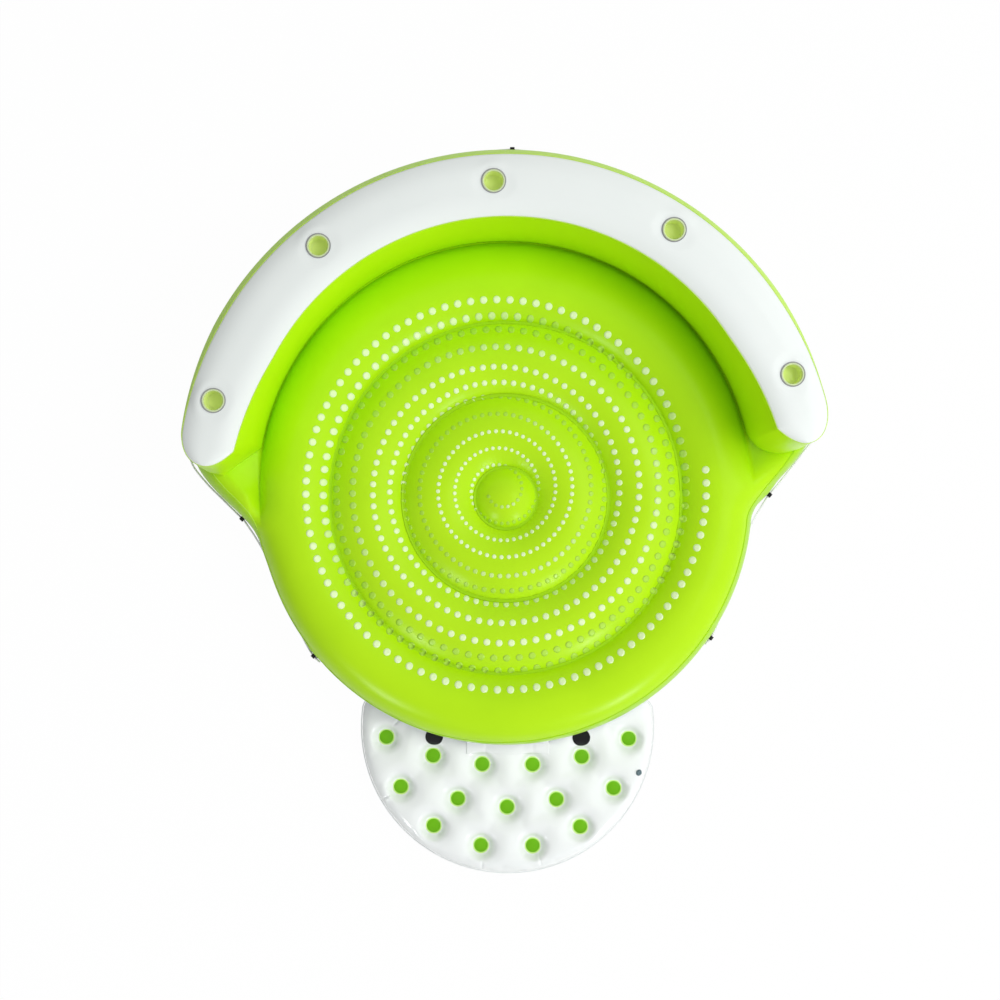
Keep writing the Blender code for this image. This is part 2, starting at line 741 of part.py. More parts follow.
def rope_guide(number, matrix):
    bm = bmesh.new()
    add_cylinder(bm, GUIDE_RADIUS, GUIDE_BASE, Matrix.Translation((0, 0, 0.5 * GUIDE_BASE)), 12)
    obj = finish_mesh("rope_guide_%d" % number, bm, BLACK)
    bm = bmesh.new()
    bmesh.ops.create_cube(bm, size=1.0)
    high = GUIDE_HOLE_Z + 2.0 * ROPE_RADIUS
    low = 0.5 * GUIDE_BASE
    bmesh.ops.scale(bm, verts=bm.verts[:], vec=(*GUIDE_BLOCK, high - low))
    bmesh.ops.translate(bm, verts=bm.verts[:], vec=(0.0, 0.0, 0.5 * (high + low)))
    block = add_cutter("guide_block_%d" % number, bm)
    block.matrix_world = matrix
    add_boolean(obj, block, "UNION")
    bm = bmesh.new()
    lie = Matrix.Rotation(math.radians(90.0), 4, "Y")
    hole = Matrix.Translation((0.0, 0.0, GUIDE_HOLE_Z)) @ lie
    add_cylinder(bm, ROPE_RADIUS + 0.0012, 0.04, hole, 8)
    drill = add_cutter("guide_hole_%d" % number, bm)
    drill.matrix_world = matrix
    add_boolean(obj, drill)
    place(obj, matrix)


def guide_places():
    right = [(-36.8, HULL_GUIDE_Z), (-1.5, HULL_GUIDE_Z), (29.0, BACK_GUIDE_Z), (59.5, BACK_GUIDE_Z)]
    left = [(180.0 - azimuth, z) for azimuth, z in reversed(right)]
    return right + [(86.5, TOP_GUIDE_Z)] + left


# Slack span between two guides, pushed clear of the sheets behind it.
def rope_span(tree, places, ends):
    first, second = places
    line = [ends[0]]
    for k in range(1, ROPE_SPAN_POINTS + 1):
        t = k / (ROPE_SPAN_POINTS + 1)
        azimuth = mix(first[0], second[0], t)
        z = mix(ends[0].z, ends[1].z, t) - ROPE_SAG * 4.0 * t * (1.0 - t)
        hit, normal = tree.ray_cast(polar(2.2, azimuth, z), -polar(1.0, azimuth))[:2]
        line.append(hit + ROPE_CLEAR * normal)
    line.append(ends[1])
    for _ in range(10):
        for k in range(1, ROPE_SPAN_POINTS + 1):
            between = 0.5 * (line[k - 1] + line[k + 1])
            between.z = line[k].z
            line[k] = mix(line[k], between, 0.5)
            for test in (line[k], mix(line[k - 1], line[k], 0.5), mix(line[k], line[k + 1], 0.5)):
                near, normal = tree.find_nearest(test)[:2]
                line[k] += max(ROPE_CLEAR - (test - near).dot(normal), 0.0) * normal
    return line


def grab_rope(tree, frames):
    places = guide_places()
    half = 0.5 * GUIDE_BLOCK[0] + 0.002
    low = Vector((-half, 0.0, GUIDE_HOLE_Z))
    high = Vector((half, 0.0, GUIDE_HOLE_Z))
    tail = Vector((ROPE_TAIL, 0.0, 0.0))
    points = [frames[0] @ (low - tail)]
    for k in range(1, len(frames)):
        points += rope_span(tree, places[k - 1:k + 1], (frames[k - 1] @ high, frames[k] @ low))
    points.append(frames[-1] @ (high + tail))
    data = bpy.data.curves.new("grab_rope", "CURVE")
    data.dimensions = "3D"
    data.bevel_depth = ROPE_RADIUS
    data.bevel_resolution = 2
    data.use_fill_caps = True
    spline = data.splines.new("POLY")
    spline.points.add(len(points) - 1)
    for target, point in zip(spline.points, points):
        target.co = (*point, 1.0)
    spline.use_smooth = True
    add_piece("grab_rope", data, CORD_WHITE)


def rope_knot(name, frame, side):
    bore = ROPE_RADIUS + 0.0005
    narrow = 0.7 * KNOT_RADIUS
    profile = [(narrow, KNOT_HALF), (KNOT_RADIUS, 0.5 * KNOT_HALF), (KNOT_RADIUS, -0.5 * KNOT_HALF)]
    profile += [(narrow, -KNOT_HALF), (bore, -KNOT_HALF), (bore, KNOT_HALF)]
    obj = turned(name, profile, 10, CORD_WHITE, ring=True)
    lie = Matrix.Rotation(math.radians(90.0), 4, "Y")
    away = side * (0.5 * GUIDE_BLOCK[0] + KNOT_HALF + 2.0 * GAP)
    place(obj, frame @ Matrix.Translation((away, 0.0, GUIDE_HOLE_Z)) @ lie)


def make_raft():
    deck = hull_sheet("hull_deck", deck_profile, LIME)
    bottom = hull_sheet("hull_bottom", bottom_profile, WHITE)
    floor_cushion("floor_ring_middle", CREASE_MIDDLE, CREASE_OUTER)
    floor_cushion("floor_ring_inner", CREASE_INNER, CREASE_MIDDLE)
    floor_dome()
    over_groove = BOTTOM_GROOVE + SHEET + GAP
    floor_beam("floor_beam_outer", CREASE_OUTER, over_groove, 32)
    floor_beam("floor_beam_middle", CREASE_MIDDLE, over_groove, 32)
    floor_beam("floor_beam_inner", CREASE_INNER, SHEET + GAP, 24)
    wall = backrest_wall()
    backrest_panels()
    for number, azimuth in enumerate(cup_azimuths(), 1):
        cup_holder(number, azimuth)
    hinge = bpy.data.objects.new("pad_hinge", None)
    raft.objects.link(hinge)
    placing = pad_placing()
    hinge.matrix_world = placing @ Matrix.Translation((0.0, HINGE_Y, HINGE_Z))
    bpy.context.view_layer.update()
    pad = boarding_pad(hinge)
    pad_tree = surface_of([pad])
    pad_discs(pad_tree, hinge)
    outside = surface_of([deck, bottom, wall])
    pad_hinge_flaps(outside, hinge)
    down = Vector((0.0, 0.0, -1.0))
    air_valve("pad_valve", pad_tree, pad, placing @ Vector((*PAD_VALVE_PLACE, 0.3)), down, PAD_VALVE_BORE, hinge)
    for name, sheet, spot in (("hull_valve", deck, HULL_VALVE_PLACE), ("backrest_valve", wall, BACK_VALVE_PLACE)):
        air_valve(name, outside, sheet, polar(2.2, *spot), -polar(1.0, spot[0]), VALVE_BORE)
    frames = []
    for azimuth, z in guide_places():
        frames.append(seat_outside(outside, azimuth, z, GUIDE_RADIUS))
    for number, frame in enumerate(frames, 1):
        rope_guide(number, frame)
    grab_rope(outside, frames)
    rope_knot("rope_knot_right", frames[0], -1.0)
    rope_knot("rope_knot_left", frames[-1], 1.0)


make_raft()
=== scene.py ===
import json
import math

import bmesh
import bpy
import numpy
from mathutils import Matrix, Vector
from mathutils.bvhtree import BVHTree


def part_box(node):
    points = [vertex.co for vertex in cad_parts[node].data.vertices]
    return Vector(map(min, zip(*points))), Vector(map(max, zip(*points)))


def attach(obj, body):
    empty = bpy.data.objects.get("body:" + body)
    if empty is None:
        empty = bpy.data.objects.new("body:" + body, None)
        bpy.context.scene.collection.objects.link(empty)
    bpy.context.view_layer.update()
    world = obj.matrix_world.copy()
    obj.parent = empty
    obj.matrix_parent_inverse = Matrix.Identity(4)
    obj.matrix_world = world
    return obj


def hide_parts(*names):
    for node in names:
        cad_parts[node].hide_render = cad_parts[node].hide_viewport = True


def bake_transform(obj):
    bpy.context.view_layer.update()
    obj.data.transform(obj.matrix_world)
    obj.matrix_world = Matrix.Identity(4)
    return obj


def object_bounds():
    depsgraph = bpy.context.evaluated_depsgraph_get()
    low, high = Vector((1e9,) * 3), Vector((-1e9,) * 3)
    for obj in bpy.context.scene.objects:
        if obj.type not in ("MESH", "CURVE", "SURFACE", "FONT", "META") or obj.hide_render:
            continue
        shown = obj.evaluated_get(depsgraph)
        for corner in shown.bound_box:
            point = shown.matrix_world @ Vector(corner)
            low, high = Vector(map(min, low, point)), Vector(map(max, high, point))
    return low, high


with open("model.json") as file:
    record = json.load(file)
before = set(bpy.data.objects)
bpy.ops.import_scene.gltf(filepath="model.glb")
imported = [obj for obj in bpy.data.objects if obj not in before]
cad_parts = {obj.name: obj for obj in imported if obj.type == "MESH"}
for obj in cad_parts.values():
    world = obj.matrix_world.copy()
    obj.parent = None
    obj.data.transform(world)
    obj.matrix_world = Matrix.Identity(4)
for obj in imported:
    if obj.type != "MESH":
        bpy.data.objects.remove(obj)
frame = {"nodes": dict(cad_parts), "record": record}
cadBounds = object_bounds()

# Looks of the inflatable raft. Metres and degrees, +Z up, +Y from the boarding pad to the backrest.

bpy.context.scene.view_settings.view_transform = "Standard"
down = Vector((0.0, 0.0, -1.0))
up = Vector((0.0, 0.0, 1.0))


# Small sums

def mix(a, b, t):
    return a + (b - a) * t


def smoothStep(low, high, value):
    t = min(max((value - low) / (high - low), 0.0), 1.0)
    return t * t * (3.0 - 2.0 * t)


def polar(radius, degrees, z=0.0):
    angle = math.radians(degrees)
    return Vector((radius * math.cos(angle), radius * math.sin(angle), z))


def turned(point, degrees):
    return Matrix.Rotation(math.radians(degrees), 3, "Z") @ Vector(point)


# The boarding pad is drawn straight ahead of the hull; it hangs a little aside and askew
def padPlace(x, y, z=0.0):
    return turned((x + 0.019, y, z), -3.0)


def unit(x, y):
    size = math.hypot(x, y)
    return x / size, y / size


# Height of a circular arc above its chord, at a distance from the chord's middle
def capRise(distance, half, rise):
    radius = (half ** 2 + rise ** 2) / (2.0 * rise)
    return math.sqrt(radius ** 2 - distance ** 2) - radius + rise


def arcPoint(centre, reach, low, high, degrees, power):
    angle = math.radians(degrees)
    r = centre + reach * max(math.cos(angle), 0.0) ** (2.0 / power)
    return r, low + (high - low) * max(math.sin(angle), 0.0) ** (2.0 / power)


# Unevenness that repeats once round the raft
def ripple(degrees, waves):
    angle = math.radians(degrees)
    return sum(size * math.sin(count * angle + shift) for count, size, shift in waves)


# Shader sockets as Python values

class Wire:
    def __init__(self, tree, socket=None):
        self.tree = tree
        self.socket = socket

    def node(self, kind, settings=None, inputs=None, output=0):
        made = self.tree.nodes.new("ShaderNode" + kind)
        for name, value in (settings or {}).items():
            if name == "stops":
                for stop, (place, colour) in zip(made.color_ramp.elements, value):
                    stop.position = place
                    stop.color = (*colour, 1.0)
            else:
                setattr(made, name, value)
        for name, value in (inputs or {}).items():
            if isinstance(value, Wire):
                self.tree.links.new(value.socket, made.inputs[name])
            else:
                made.inputs[name].default_value = value
        return Wire(self.tree, made.outputs[output])

    def calc(self, operation, a, b=0.0, clamp=False):
        return self.node("Math", {"operation": operation, "use_clamp": clamp}, {0: a, 1: b})

    def __add__(self, other):
        return self.calc("ADD", self, other)

    __radd__ = __add__

    def __sub__(self, other):
        return self.calc("SUBTRACT", self, other)

    def __rsub__(self, other):
        return self.calc("SUBTRACT", other, self)

    def __mul__(self, other):
        return self.calc("MULTIPLY", self, other)

    __rmul__ = __mul__

    def __pow__(self, other):
        return self.calc("POWER", self, other)

    def clamped(self):
        return self.calc("ADD", self, 0.0, True)

    def colours(self, a, b):
        return self.node("Mix", {"data_type": "RGBA"}, {0: self, 6: a, 7: b}, 2)


def shaderTree(name):
    material = bpy.data.materials.new(name)
    material.use_nodes = True
    material.node_tree.nodes.clear()
    return material, Wire(material.node_tree)


def output(start, shader):
    made = start.tree.nodes.new("ShaderNodeOutputMaterial")
    start.tree.links.new(shader.socket, made.inputs["Surface"])


# Finishes

vinylFinishes = {
    "limeVinyl": {"colour": (0.505, 0.845, 0.006), "deep": (0.45, 0.785, 0.004), "roughness": 0.3},
    "limeFloorVinyl": {"colour": (0.515, 0.85, 0.010), "deep": (0.46, 0.79, 0.006), "roughness": 0.3},
    # The wall's lime is brighter than the hull's: painted light on its inner face
    "wallVinylPaintedLight": {"colour": (0.57, 0.94, 0.003), "deep": (0.51, 0.88, 0.002), "roughness": 0.34},
    "whiteVinyl": {"colour": (0.875, 0.91, 0.89), "deep": (0.845, 0.885, 0.865), "roughness": 0.3,
                   "coat": 0.1},
    "padVinyl": {"colour": (0.885, 0.91, 0.905), "deep": (0.86, 0.885, 0.88), "roughness": 0.2,
                 "coat": 0.45},
    # Darker lime of the groove welds: painted shade
    "grooveVinylPaintedShade": {"colour": (0.40, 0.74, 0.004), "deep": (0.36, 0.69, 0.003), "roughness": 0.4},
    # The side sheet's lime is greyer, as the sheet's own tone, and darker as painted shade
    "sideVinylPaintedShade": {"colour": (0.44, 0.76, 0.02), "deep": (0.38, 0.70, 0.015), "roughness": 0.3},
    "seamVinyl": {"colour": (0.60, 0.86, 0.10), "deep": (0.50, 0.80, 0.06), "roughness": 0.3,
                  "coat": 0.2, "grain": 0.1},
    "weldRimPale": {"colour": (0.66, 0.95, 0.28), "deep": (0.60, 0.92, 0.22), "roughness": 0.3,
                    "coat": 0.2, "grain": 0.1},
    "clearSeamVinyl": {"colour": (0.84, 0.87, 0.87), "deep": (0.72, 0.77, 0.76), "roughness": 0.25,
                       "coat": 0.2, "grain": 0.1},
    "weldLime": {"colour": (0.17, 0.50, 0.003), "deep": (0.14, 0.44, 0.002), "roughness": 0.35,
                 "coat": 0.1, "grain": 0.15},
    "badgeBlack": {"colour": (0.010, 0.010, 0.011), "deep": (0.006, 0.006, 0.007), "roughness": 0.4,
                   "coat": 0.1, "grain": 0.15},
    "guideBlack": {"colour": (0.012, 0.012, 0.013), "deep": (0.007, 0.007, 0.008), "roughness": 0.5,
                   "grain": 0.3},
    "knurlGrey": {"colour": (0.43, 0.435, 0.44), "deep": (0.28, 0.285, 0.29), "roughness": 0.45,
                  "grain": 0.3},
    "cupPale": {"colour": (0.70, 0.80, 0.50), "deep": (0.62, 0.72, 0.42), "roughness": 0.25,
                "coat": 0.2, "grain": 0.1},
    # The cups' lime-olive is lightened and glows: painted light in the shaded wells
    "cupOlive": {"colour": (0.76, 0.88, 0.36), "deep": (0.70, 0.82, 0.30), "roughness": 0.3,
                 "coat": 0.35, "grain": 0.05, "glow": (0.46, 0.52, 0.14, 0.16)},
    "valveTeal": {"colour": (0.15, 0.22, 0.24), "deep": (0.11, 0.17, 0.19), "roughness": 0.25,
                  "coat": 0.3, "grain": 0.1},
}


# Soft plastic sheet: slow drifts of tone, fine grain and a slightly uneven gloss; a glow, where given, is
# painted light
def vinyl(name, colour, deep, roughness, coat=0.0, grain=0.02, glow=(0.0, 0.0, 0.0, 0.0)):
    material, start = shaderTree(name)
    place = start.node("TexCoord", output=3)
    drift = start.node("TexNoise", None, {"Vector": place, "Scale": 3.2, "Detail": 3.0, "Roughness": 0.5})
    cloud = start.node("TexNoise", None, {"Vector": place, "Scale": 42.0, "Detail": 3.0, "Roughness": 0.6})
    fine = start.node("TexNoise", None, {"Vector": place, "Scale": 900.0, "Detail": 2.0})
    tone = (1.6 * drift - 0.45 + 0.1 * (cloud - 0.5)).clamped()
    slow = start.node("Bump", None, {"Strength": 0.05, "Distance": 0.001, "Height": cloud})
    bump = start.node("Bump", None, {"Strength": grain, "Distance": 0.0004, "Height": fine, "Normal": slow})
    shader = start.node("BsdfPrincipled", None, {
        "Base Color": tone.colours((*deep, 1.0), (*colour, 1.0)),
        "Roughness": roughness - 0.04 + 0.08 * cloud,
        "Coat Weight": coat, "Coat Roughness": 0.12, "IOR": 1.36, "Normal": bump,
        "Emission Color": (*glow[:3], 1.0), "Emission Strength": glow[3]})
    output(start, shader)
    return material


# Printed spot with painted sheen and shade: its tone is kept on the mesh, painted pale where the spot faces a
# set light direction and greyer down the slopes
def dotPrintAndSheen():
    material, start = shaderTree("dotPrintAndSheen")
    tone = start.node("Attribute", {"attribute_name": "tone"}, None, 2)
    place = start.node("TexCoord", output=3)
    speck = start.node("TexNoise", None, {"Vector": place, "Scale": 420.0, "Detail": 2.0})
    mixed = (tone + 0.25 * (speck - 0.5)).clamped()
    shader = start.node("BsdfPrincipled", None, {
        "Base Color": mixed.colours((0.44, 0.74, 0.06, 1.0), (0.80, 0.95, 0.56, 1.0)),
        "Roughness": 0.3 + 0.1 * speck, "Coat Weight": 0.1, "Coat Roughness": 0.2})
    output(start, shader)
    return material


# Braid: two bands of strands cross along the cord's own map; the colour is darker where the weave is low,
# painted shade between the strands
def ropeBraid():
    material, start = shaderTree("ropeBraid")
    place = start.node("UVMap", {"uv_map": "along"})
    parts = [start.node("SeparateXYZ", None, {0: place}, k) for k in (0, 1)]
    left = start.calc("SINE", 6.2832 * (parts[0] * 60.0 + parts[1] * 4.0))
    right = start.calc("SINE", 6.2832 * (parts[0] * 60.0 - parts[1] * 4.0))
    weave = 0.5 + 0.5 * left * right
    bump = start.node("Bump", None, {"Strength": 0.6, "Distance": 0.0008, "Height": weave})
    shader = start.node("BsdfPrincipled", None, {
        "Base Color": weave.colours((0.74, 0.75, 0.74, 1.0), (0.93, 0.94, 0.93, 1.0)),
        "Roughness": 0.75, "Sheen Weight": 0.2, "Normal": bump})
    output(start, shader)
    return material


finishes = {name: vinyl(name, **values) for name, values in vinylFinishes.items()}
finishes["dotPrintAndSheen"] = dotPrintAndSheen()
finishes["ropeBraid"] = ropeBraid()
print("finishes ready:", len(finishes))


# Making pieces

def pieceFrom(name, bm, finish, nodes=(), body="root"):
    mesh = bpy.data.meshes.new(name)
    bm.to_mesh(mesh)
    bm.free()
    mesh.shade_smooth()
    return dressed(bpy.data.objects.new(name, mesh), finish, nodes, body)


def dressed(piece, finish, nodes=(), body="root"):
    if piece.name not in bpy.context.scene.collection.objects:
        bpy.context.scene.collection.objects.link(piece)
    piece.data.materials.clear()
    piece.data.materials.append(finishes[finish])
    if body == "hinge":
        padPlace(0.0, -1.0615, 0.1)
        padPlace(0.0, -1.13, 0.1)
        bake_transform(piece)
    else:
        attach(piece, body)
    if nodes:
        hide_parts(*nodes)
    return piece


sheetThickness = 0.003


def thicken(piece, thickness=sheetThickness, offset=-1.0):
    modifier = piece.modifiers.new("sheet", "SOLIDIFY")
    modifier.thickness = thickness
    modifier.offset = offset


# A grid whose points are then placed by a function of their two shares
def shapedGrid(across, along, place, uvMap=None):
    bm = bmesh.new()
    bmesh.ops.create_grid(bm, x_segments=across, y_segments=along, size=0.5)
    if uvMap:
        layer = bm.loops.layers.uv.new(uvMap)
        for face in bm.faces:
            for corner in face.loops:
                corner[layer].uv = corner.vert.co.xy + Vector((0.5, 0.5))
    for vert in bm.verts:
        vert.co = place(vert.co.x + 0.5, vert.co.y + 0.5)
    bmesh.ops.remove_doubles(bm, verts=bm.verts[:], dist=0.00002)
    bmesh.ops.recalc_face_normals(bm, faces=bm.faces[:])
    return bm


# A profile of (radius, height) pairs turned about an upright axis
def lathe(bm, profile, steps, matrix=None, ring=False):
    points = [bm.verts.new((r, 0.0, z)) for r, z in profile]
    pairs = list(zip(points, points[1:]))
    if ring:
        pairs.append((points[-1], points[0]))
    edges = [bm.edges.new(pair) for pair in pairs]
    bmesh.ops.spin(bm, geom=points + edges, cent=(0, 0, 0), axis=(0, 0, 1), angle=math.tau, steps=steps,
                   use_merge=True)
    bmesh.ops.remove_doubles(bm, verts=bm.verts[:], dist=0.00002)
    bmesh.ops.recalc_face_normals(bm, faces=bm.faces[:])
    if matrix is not None:
        bmesh.ops.transform(bm, matrix=matrix, verts=bm.verts[:])


# Adds a mesh of its own to another and leaves both closed
def joined(bm, other):
    mesh = bpy.data.meshes.new("joined")
    other.to_mesh(mesh)
    other.free()
    bm.from_mesh(mesh)
    bpy.data.meshes.remove(mesh)


def treeOf(*pieces):
    bpy.context.view_layer.update()
    graph = bpy.context.evaluated_depsgraph_get()
    points = []
    faces = []
    for piece in pieces:
        done = piece.evaluated_get(graph)
        mesh = done.to_mesh()
        start = len(points)
        points += [done.matrix_world @ v.co for v in mesh.vertices]
        faces += [[start + i for i in face.vertices] for face in mesh.polygons]
        done.to_mesh_clear()
    return BVHTree.FromPolygons(points, faces)


# Frame of a thin round CAD node: local Z is its flat direction, away from the inside point
def nodeFrame(name, inside):
    points = numpy.array([v.co for v in frame["nodes"][name].data.vertices])
    middle = points.mean(axis=0)
    normal = Vector(numpy.linalg.svd(points - middle, full_matrices=False)[2][2])
    if normal.dot(Vector(middle) - inside) < 0.0:
        normal.negate()
    along = up.cross(normal)
    if along.length < 0.05:
        along = Vector((1.0, 0.0, 0.0))
    along.normalize()
    across = normal.cross(along)
    spans = [points @ numpy.array(axis) for axis in (along, across, normal)]
    spot = 0.5 * (spans[0].min() + spans[0].max()) * along + 0.5 * (spans[1].min() + spans[1].max()) * across
    result = Matrix((along, across, normal)).transposed().to_4x4()
    result.translation = spot + spans[2].min() * normal
    return result


# Presses a sheet flat round each fitting, as its stiff weld patch does
patch = {"inner": 0.034, "outer": 0.085, "depth": 0.03}


def pressFlat(bm, frames, sink=0.0006):
    for matrix in frames:
        back = matrix.inverted()
        for vert in bm.verts:
            if (vert.co - matrix.translation).length < 1.5 * patch["outer"]:
                local = back @ vert.co
                share = 1.0 - smoothStep(patch["inner"], patch["outer"], local.xy.length)
                if abs(local.z) < patch["depth"] and share > 0.0:
                    local.z = mix(local.z, -sink, share)
                    vert.co = matrix @ local


# Smooth bead along a line of points
def bead(name, points, radius, closed, finish, body="root"):
    curve = bpy.data.curves.new(name, "CURVE")
    curve.dimensions = "3D"
    curve.bevel_depth = radius
    curve.bevel_resolution = 1
    curve.use_fill_caps = not closed
    spline = curve.splines.new("POLY")
    spline.points.add(len(points) - 1)
    for target, point in zip(spline.points, points):
        target.co = (*point, 1.0)
    spline.use_cyclic_u = closed
    spline.use_smooth = True
    holder = bpy.data.objects.new(name, curve)
    bpy.context.scene.collection.objects.link(holder)
    bpy.context.view_layer.update()
    mesh = bpy.data.meshes.new_from_object(holder.evaluated_get(bpy.context.evaluated_depsgraph_get()))
    bpy.data.objects.remove(holder)
    mesh.name = name
    mesh.shade_smooth()
    dressed(bpy.data.objects.new(name, mesh), finish, (), body)


# Camera, lamps, floor

cameraSet = {"height": 8.0, "aside": -0.135, "ahead": -0.004, "lens": 65.35, "shift": (0.026, -0.001),
             "turn": -2.6}


def makeCamera():
    data = bpy.data.cameras.new("camera")
    data.lens = cameraSet["lens"]
    data.sensor_width = 36.0
    data.shift_x, data.shift_y = cameraSet["shift"]
    data.clip_end = 60.0
    camera = bpy.data.objects.new("camera", data)
    bpy.context.scene.collection.objects.link(camera)
    camera.location = turned((cameraSet["aside"], cameraSet["ahead"], cameraSet["height"]), cameraSet["turn"])
    camera.rotation_euler = (0.0, 0.0, math.radians(cameraSet["turn"]))
    bpy.context.scene.camera = camera


lampSet = {
    "highRight": {"size": (4.5, 4.5), "power": 420.0, "place": (4.6, 0.6, 7.8), "gloss": False},
    "frontLeft": {"size": (0.5, 0.9), "power": 28.0, "place": (-2.4, -4.0, 2.2), "gloss": True},
    "frontRight": {"size": (0.5, 0.9), "power": 30.0, "place": (2.4, -4.0, 2.2), "gloss": True},
}


def makeLamps():
    for name, values in lampSet.items():
        data = bpy.data.lights.new(name, "AREA")
        data.shape = "RECTANGLE"
        data.size, data.size_y = values["size"]
        data.energy = values["power"]
        lamp = bpy.data.objects.new(name, data)
        bpy.context.scene.collection.objects.link(lamp)
        spot = turned(values["place"], cameraSet["turn"])
        lamp.location = spot
        lamp.rotation_euler = (Vector((0.0, 0.0, 0.3)) - spot).to_track_quat("-Z", "Y").to_euler()
        lamp.visible_camera = False
        lamp.visible_glossy = values["gloss"]


studioSet = {"left": (0.27, 0.275, 0.275), "right": (0.65, 0.66, 0.655), "floorWhite": 0.86,
             "floorGlow": 0.98}


def makeStudio():
    world = bpy.data.worlds.new("studio")
    bpy.context.scene.world = world
    world.use_nodes = True
    world.node_tree.nodes.clear()
    start = Wire(world.node_tree)
    seen = start.node("LightPath", None, None, 0)
    side = start.node("SeparateXYZ", None, {0: start.node("TexCoord", output=0)}, 0)
    soft = (0.5 + 0.5 * side).clamped().colours((*studioSet["left"], 1.0), (*studioSet["right"], 1.0))
    colour = seen.colours(soft, (1.0, 1.0, 1.0, 1.0))
    light = start.node("Background", None, {"Color": colour, "Strength": 1.0})
    made = world.node_tree.nodes.new("ShaderNodeOutputWorld")
    world.node_tree.links.new(light.socket, made.inputs["Surface"])

    material, start = shaderTree("floorPaint")
    white = studioSet["floorWhite"]
    lit = start.node("BsdfDiffuse", None, {"Color": (white, white, white, 1.0)})
    glow = start.node("Emission", None, {"Color": (1.0, 1.0, 1.0, 1.0), "Strength": 1.0})
    seen = start.node("LightPath", None, None, 0)
    output(start, start.node("MixShader", None, {0: studioSet["floorGlow"] * seen, 1: lit, 2: glow}))
    bm = bmesh.new()
    bmesh.ops.create_grid(bm, x_segments=4, y_segments=4, size=14.0)
    bmesh.ops.translate(bm, verts=bm.verts[:], vec=(0.0, 0.0, cadBounds[0][2] - 0.0006))
    mesh = bpy.data.meshes.new("floor")
    bm.to_mesh(mesh)
    bm.free()
    floor = bpy.data.objects.new("floor", mesh)
    bpy.context.scene.collection.objects.link(floor)
    mesh.materials.append(material)


makeCamera()
makeLamps()
makeStudio()
print("studio ready")


# Fittings' places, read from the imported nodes

hullMiddle = Vector((0.0, 0.0, 0.2))
guideFrames = [nodeFrame("rope_guide_%d" % number, hullMiddle) for number in range(1, 10)]
valveStem = 0.009
valveFrames = {}
for name, inside in (("hull_valve", hullMiddle), ("backrest_valve", hullMiddle),
                     ("pad_valve", Vector((0.5, -1.2, 0.0)))):
    valveFrames[name] = nodeFrame(name + "_base", inside) @ Matrix.Translation((0.0, 0.0, valveStem))
hullFittings = [valveFrames["hull_valve"]] + guideFrames[:2] + guideFrames[-2:]
wallFittings = [valveFrames["backrest_valve"]] + guideFrames[2:7]


def boxMiddle(node):
    low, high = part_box(node)
    return 0.5 * (low + high)


# Hull

hull = {
    "radius": 1.057, "equatorZ": 0.19, "crest": 0.895, "crestZ": 0.36, "creaseZ": 0.285, "floorCrest": 0.350,
    "floorEdges": (0.747, 0.437, 0.130), "power": 2.2, "slack": 0.016, "creaseBack": 1.046,
    "creaseCentreY": 0.043, "seatZ": 0.33,
    "backRadius": 1.345, "backCentreY": 0.07, "shoulder": (-7.8, 12.2), "swellLeft": 0.014,
    "drawnRight": 0.007, "foldLeft": (-5.0, 3.0), "foldRight": (-2.0, 9.0),
    "edgeLeft": 0.13, "edgeRight": 0.05, "edgeBack": 0.03, "edgeRise": (9.0, 15.0), "groove": 0.035,
    "steps": 540, "waves": ((47, 0.5, 1.3), (83, 0.35, 2.1), (131, 0.25, 0.7)), "pucker": 0.0009,
}


def riseOf(azimuth):
    return math.degrees(math.asin(math.sin(math.radians(azimuth))))


# 1 at the raft's right side, 0 at its left
def rightShare(azimuth):
    return 0.5 + 0.5 * math.cos(math.radians(azimuth))


def reachFrom(radius, centreY, degrees):
    angle = math.radians(degrees)
    return centreY * math.sin(angle) + math.sqrt(radius ** 2 - (centreY * math.cos(angle)) ** 2)


def hullRadius(azimuth):
    rise = riseOf(azimuth)
    share = smoothStep(*hull["shoulder"], rise)
    right = rightShare(azimuth)
    swell = hull["swellLeft"] * math.exp(-((rise + 6.0) / 5.0) ** 2)
    lean = mix(swell, -hull["drawnRight"] * math.exp(-((rise - 1.0) / 5.5) ** 2), right)
    return mix(hull["radius"], reachFrom(hull["backRadius"], hull["backCentreY"], rise), share) + lean


# Angle at which a tube of the given reach passes the crease
def stopAngle(crease, outer):
    share = (crease - hull["crest"]) / (outer - hull["crest"])
    return math.degrees(math.acos(share ** (0.5 * hull["power"])))


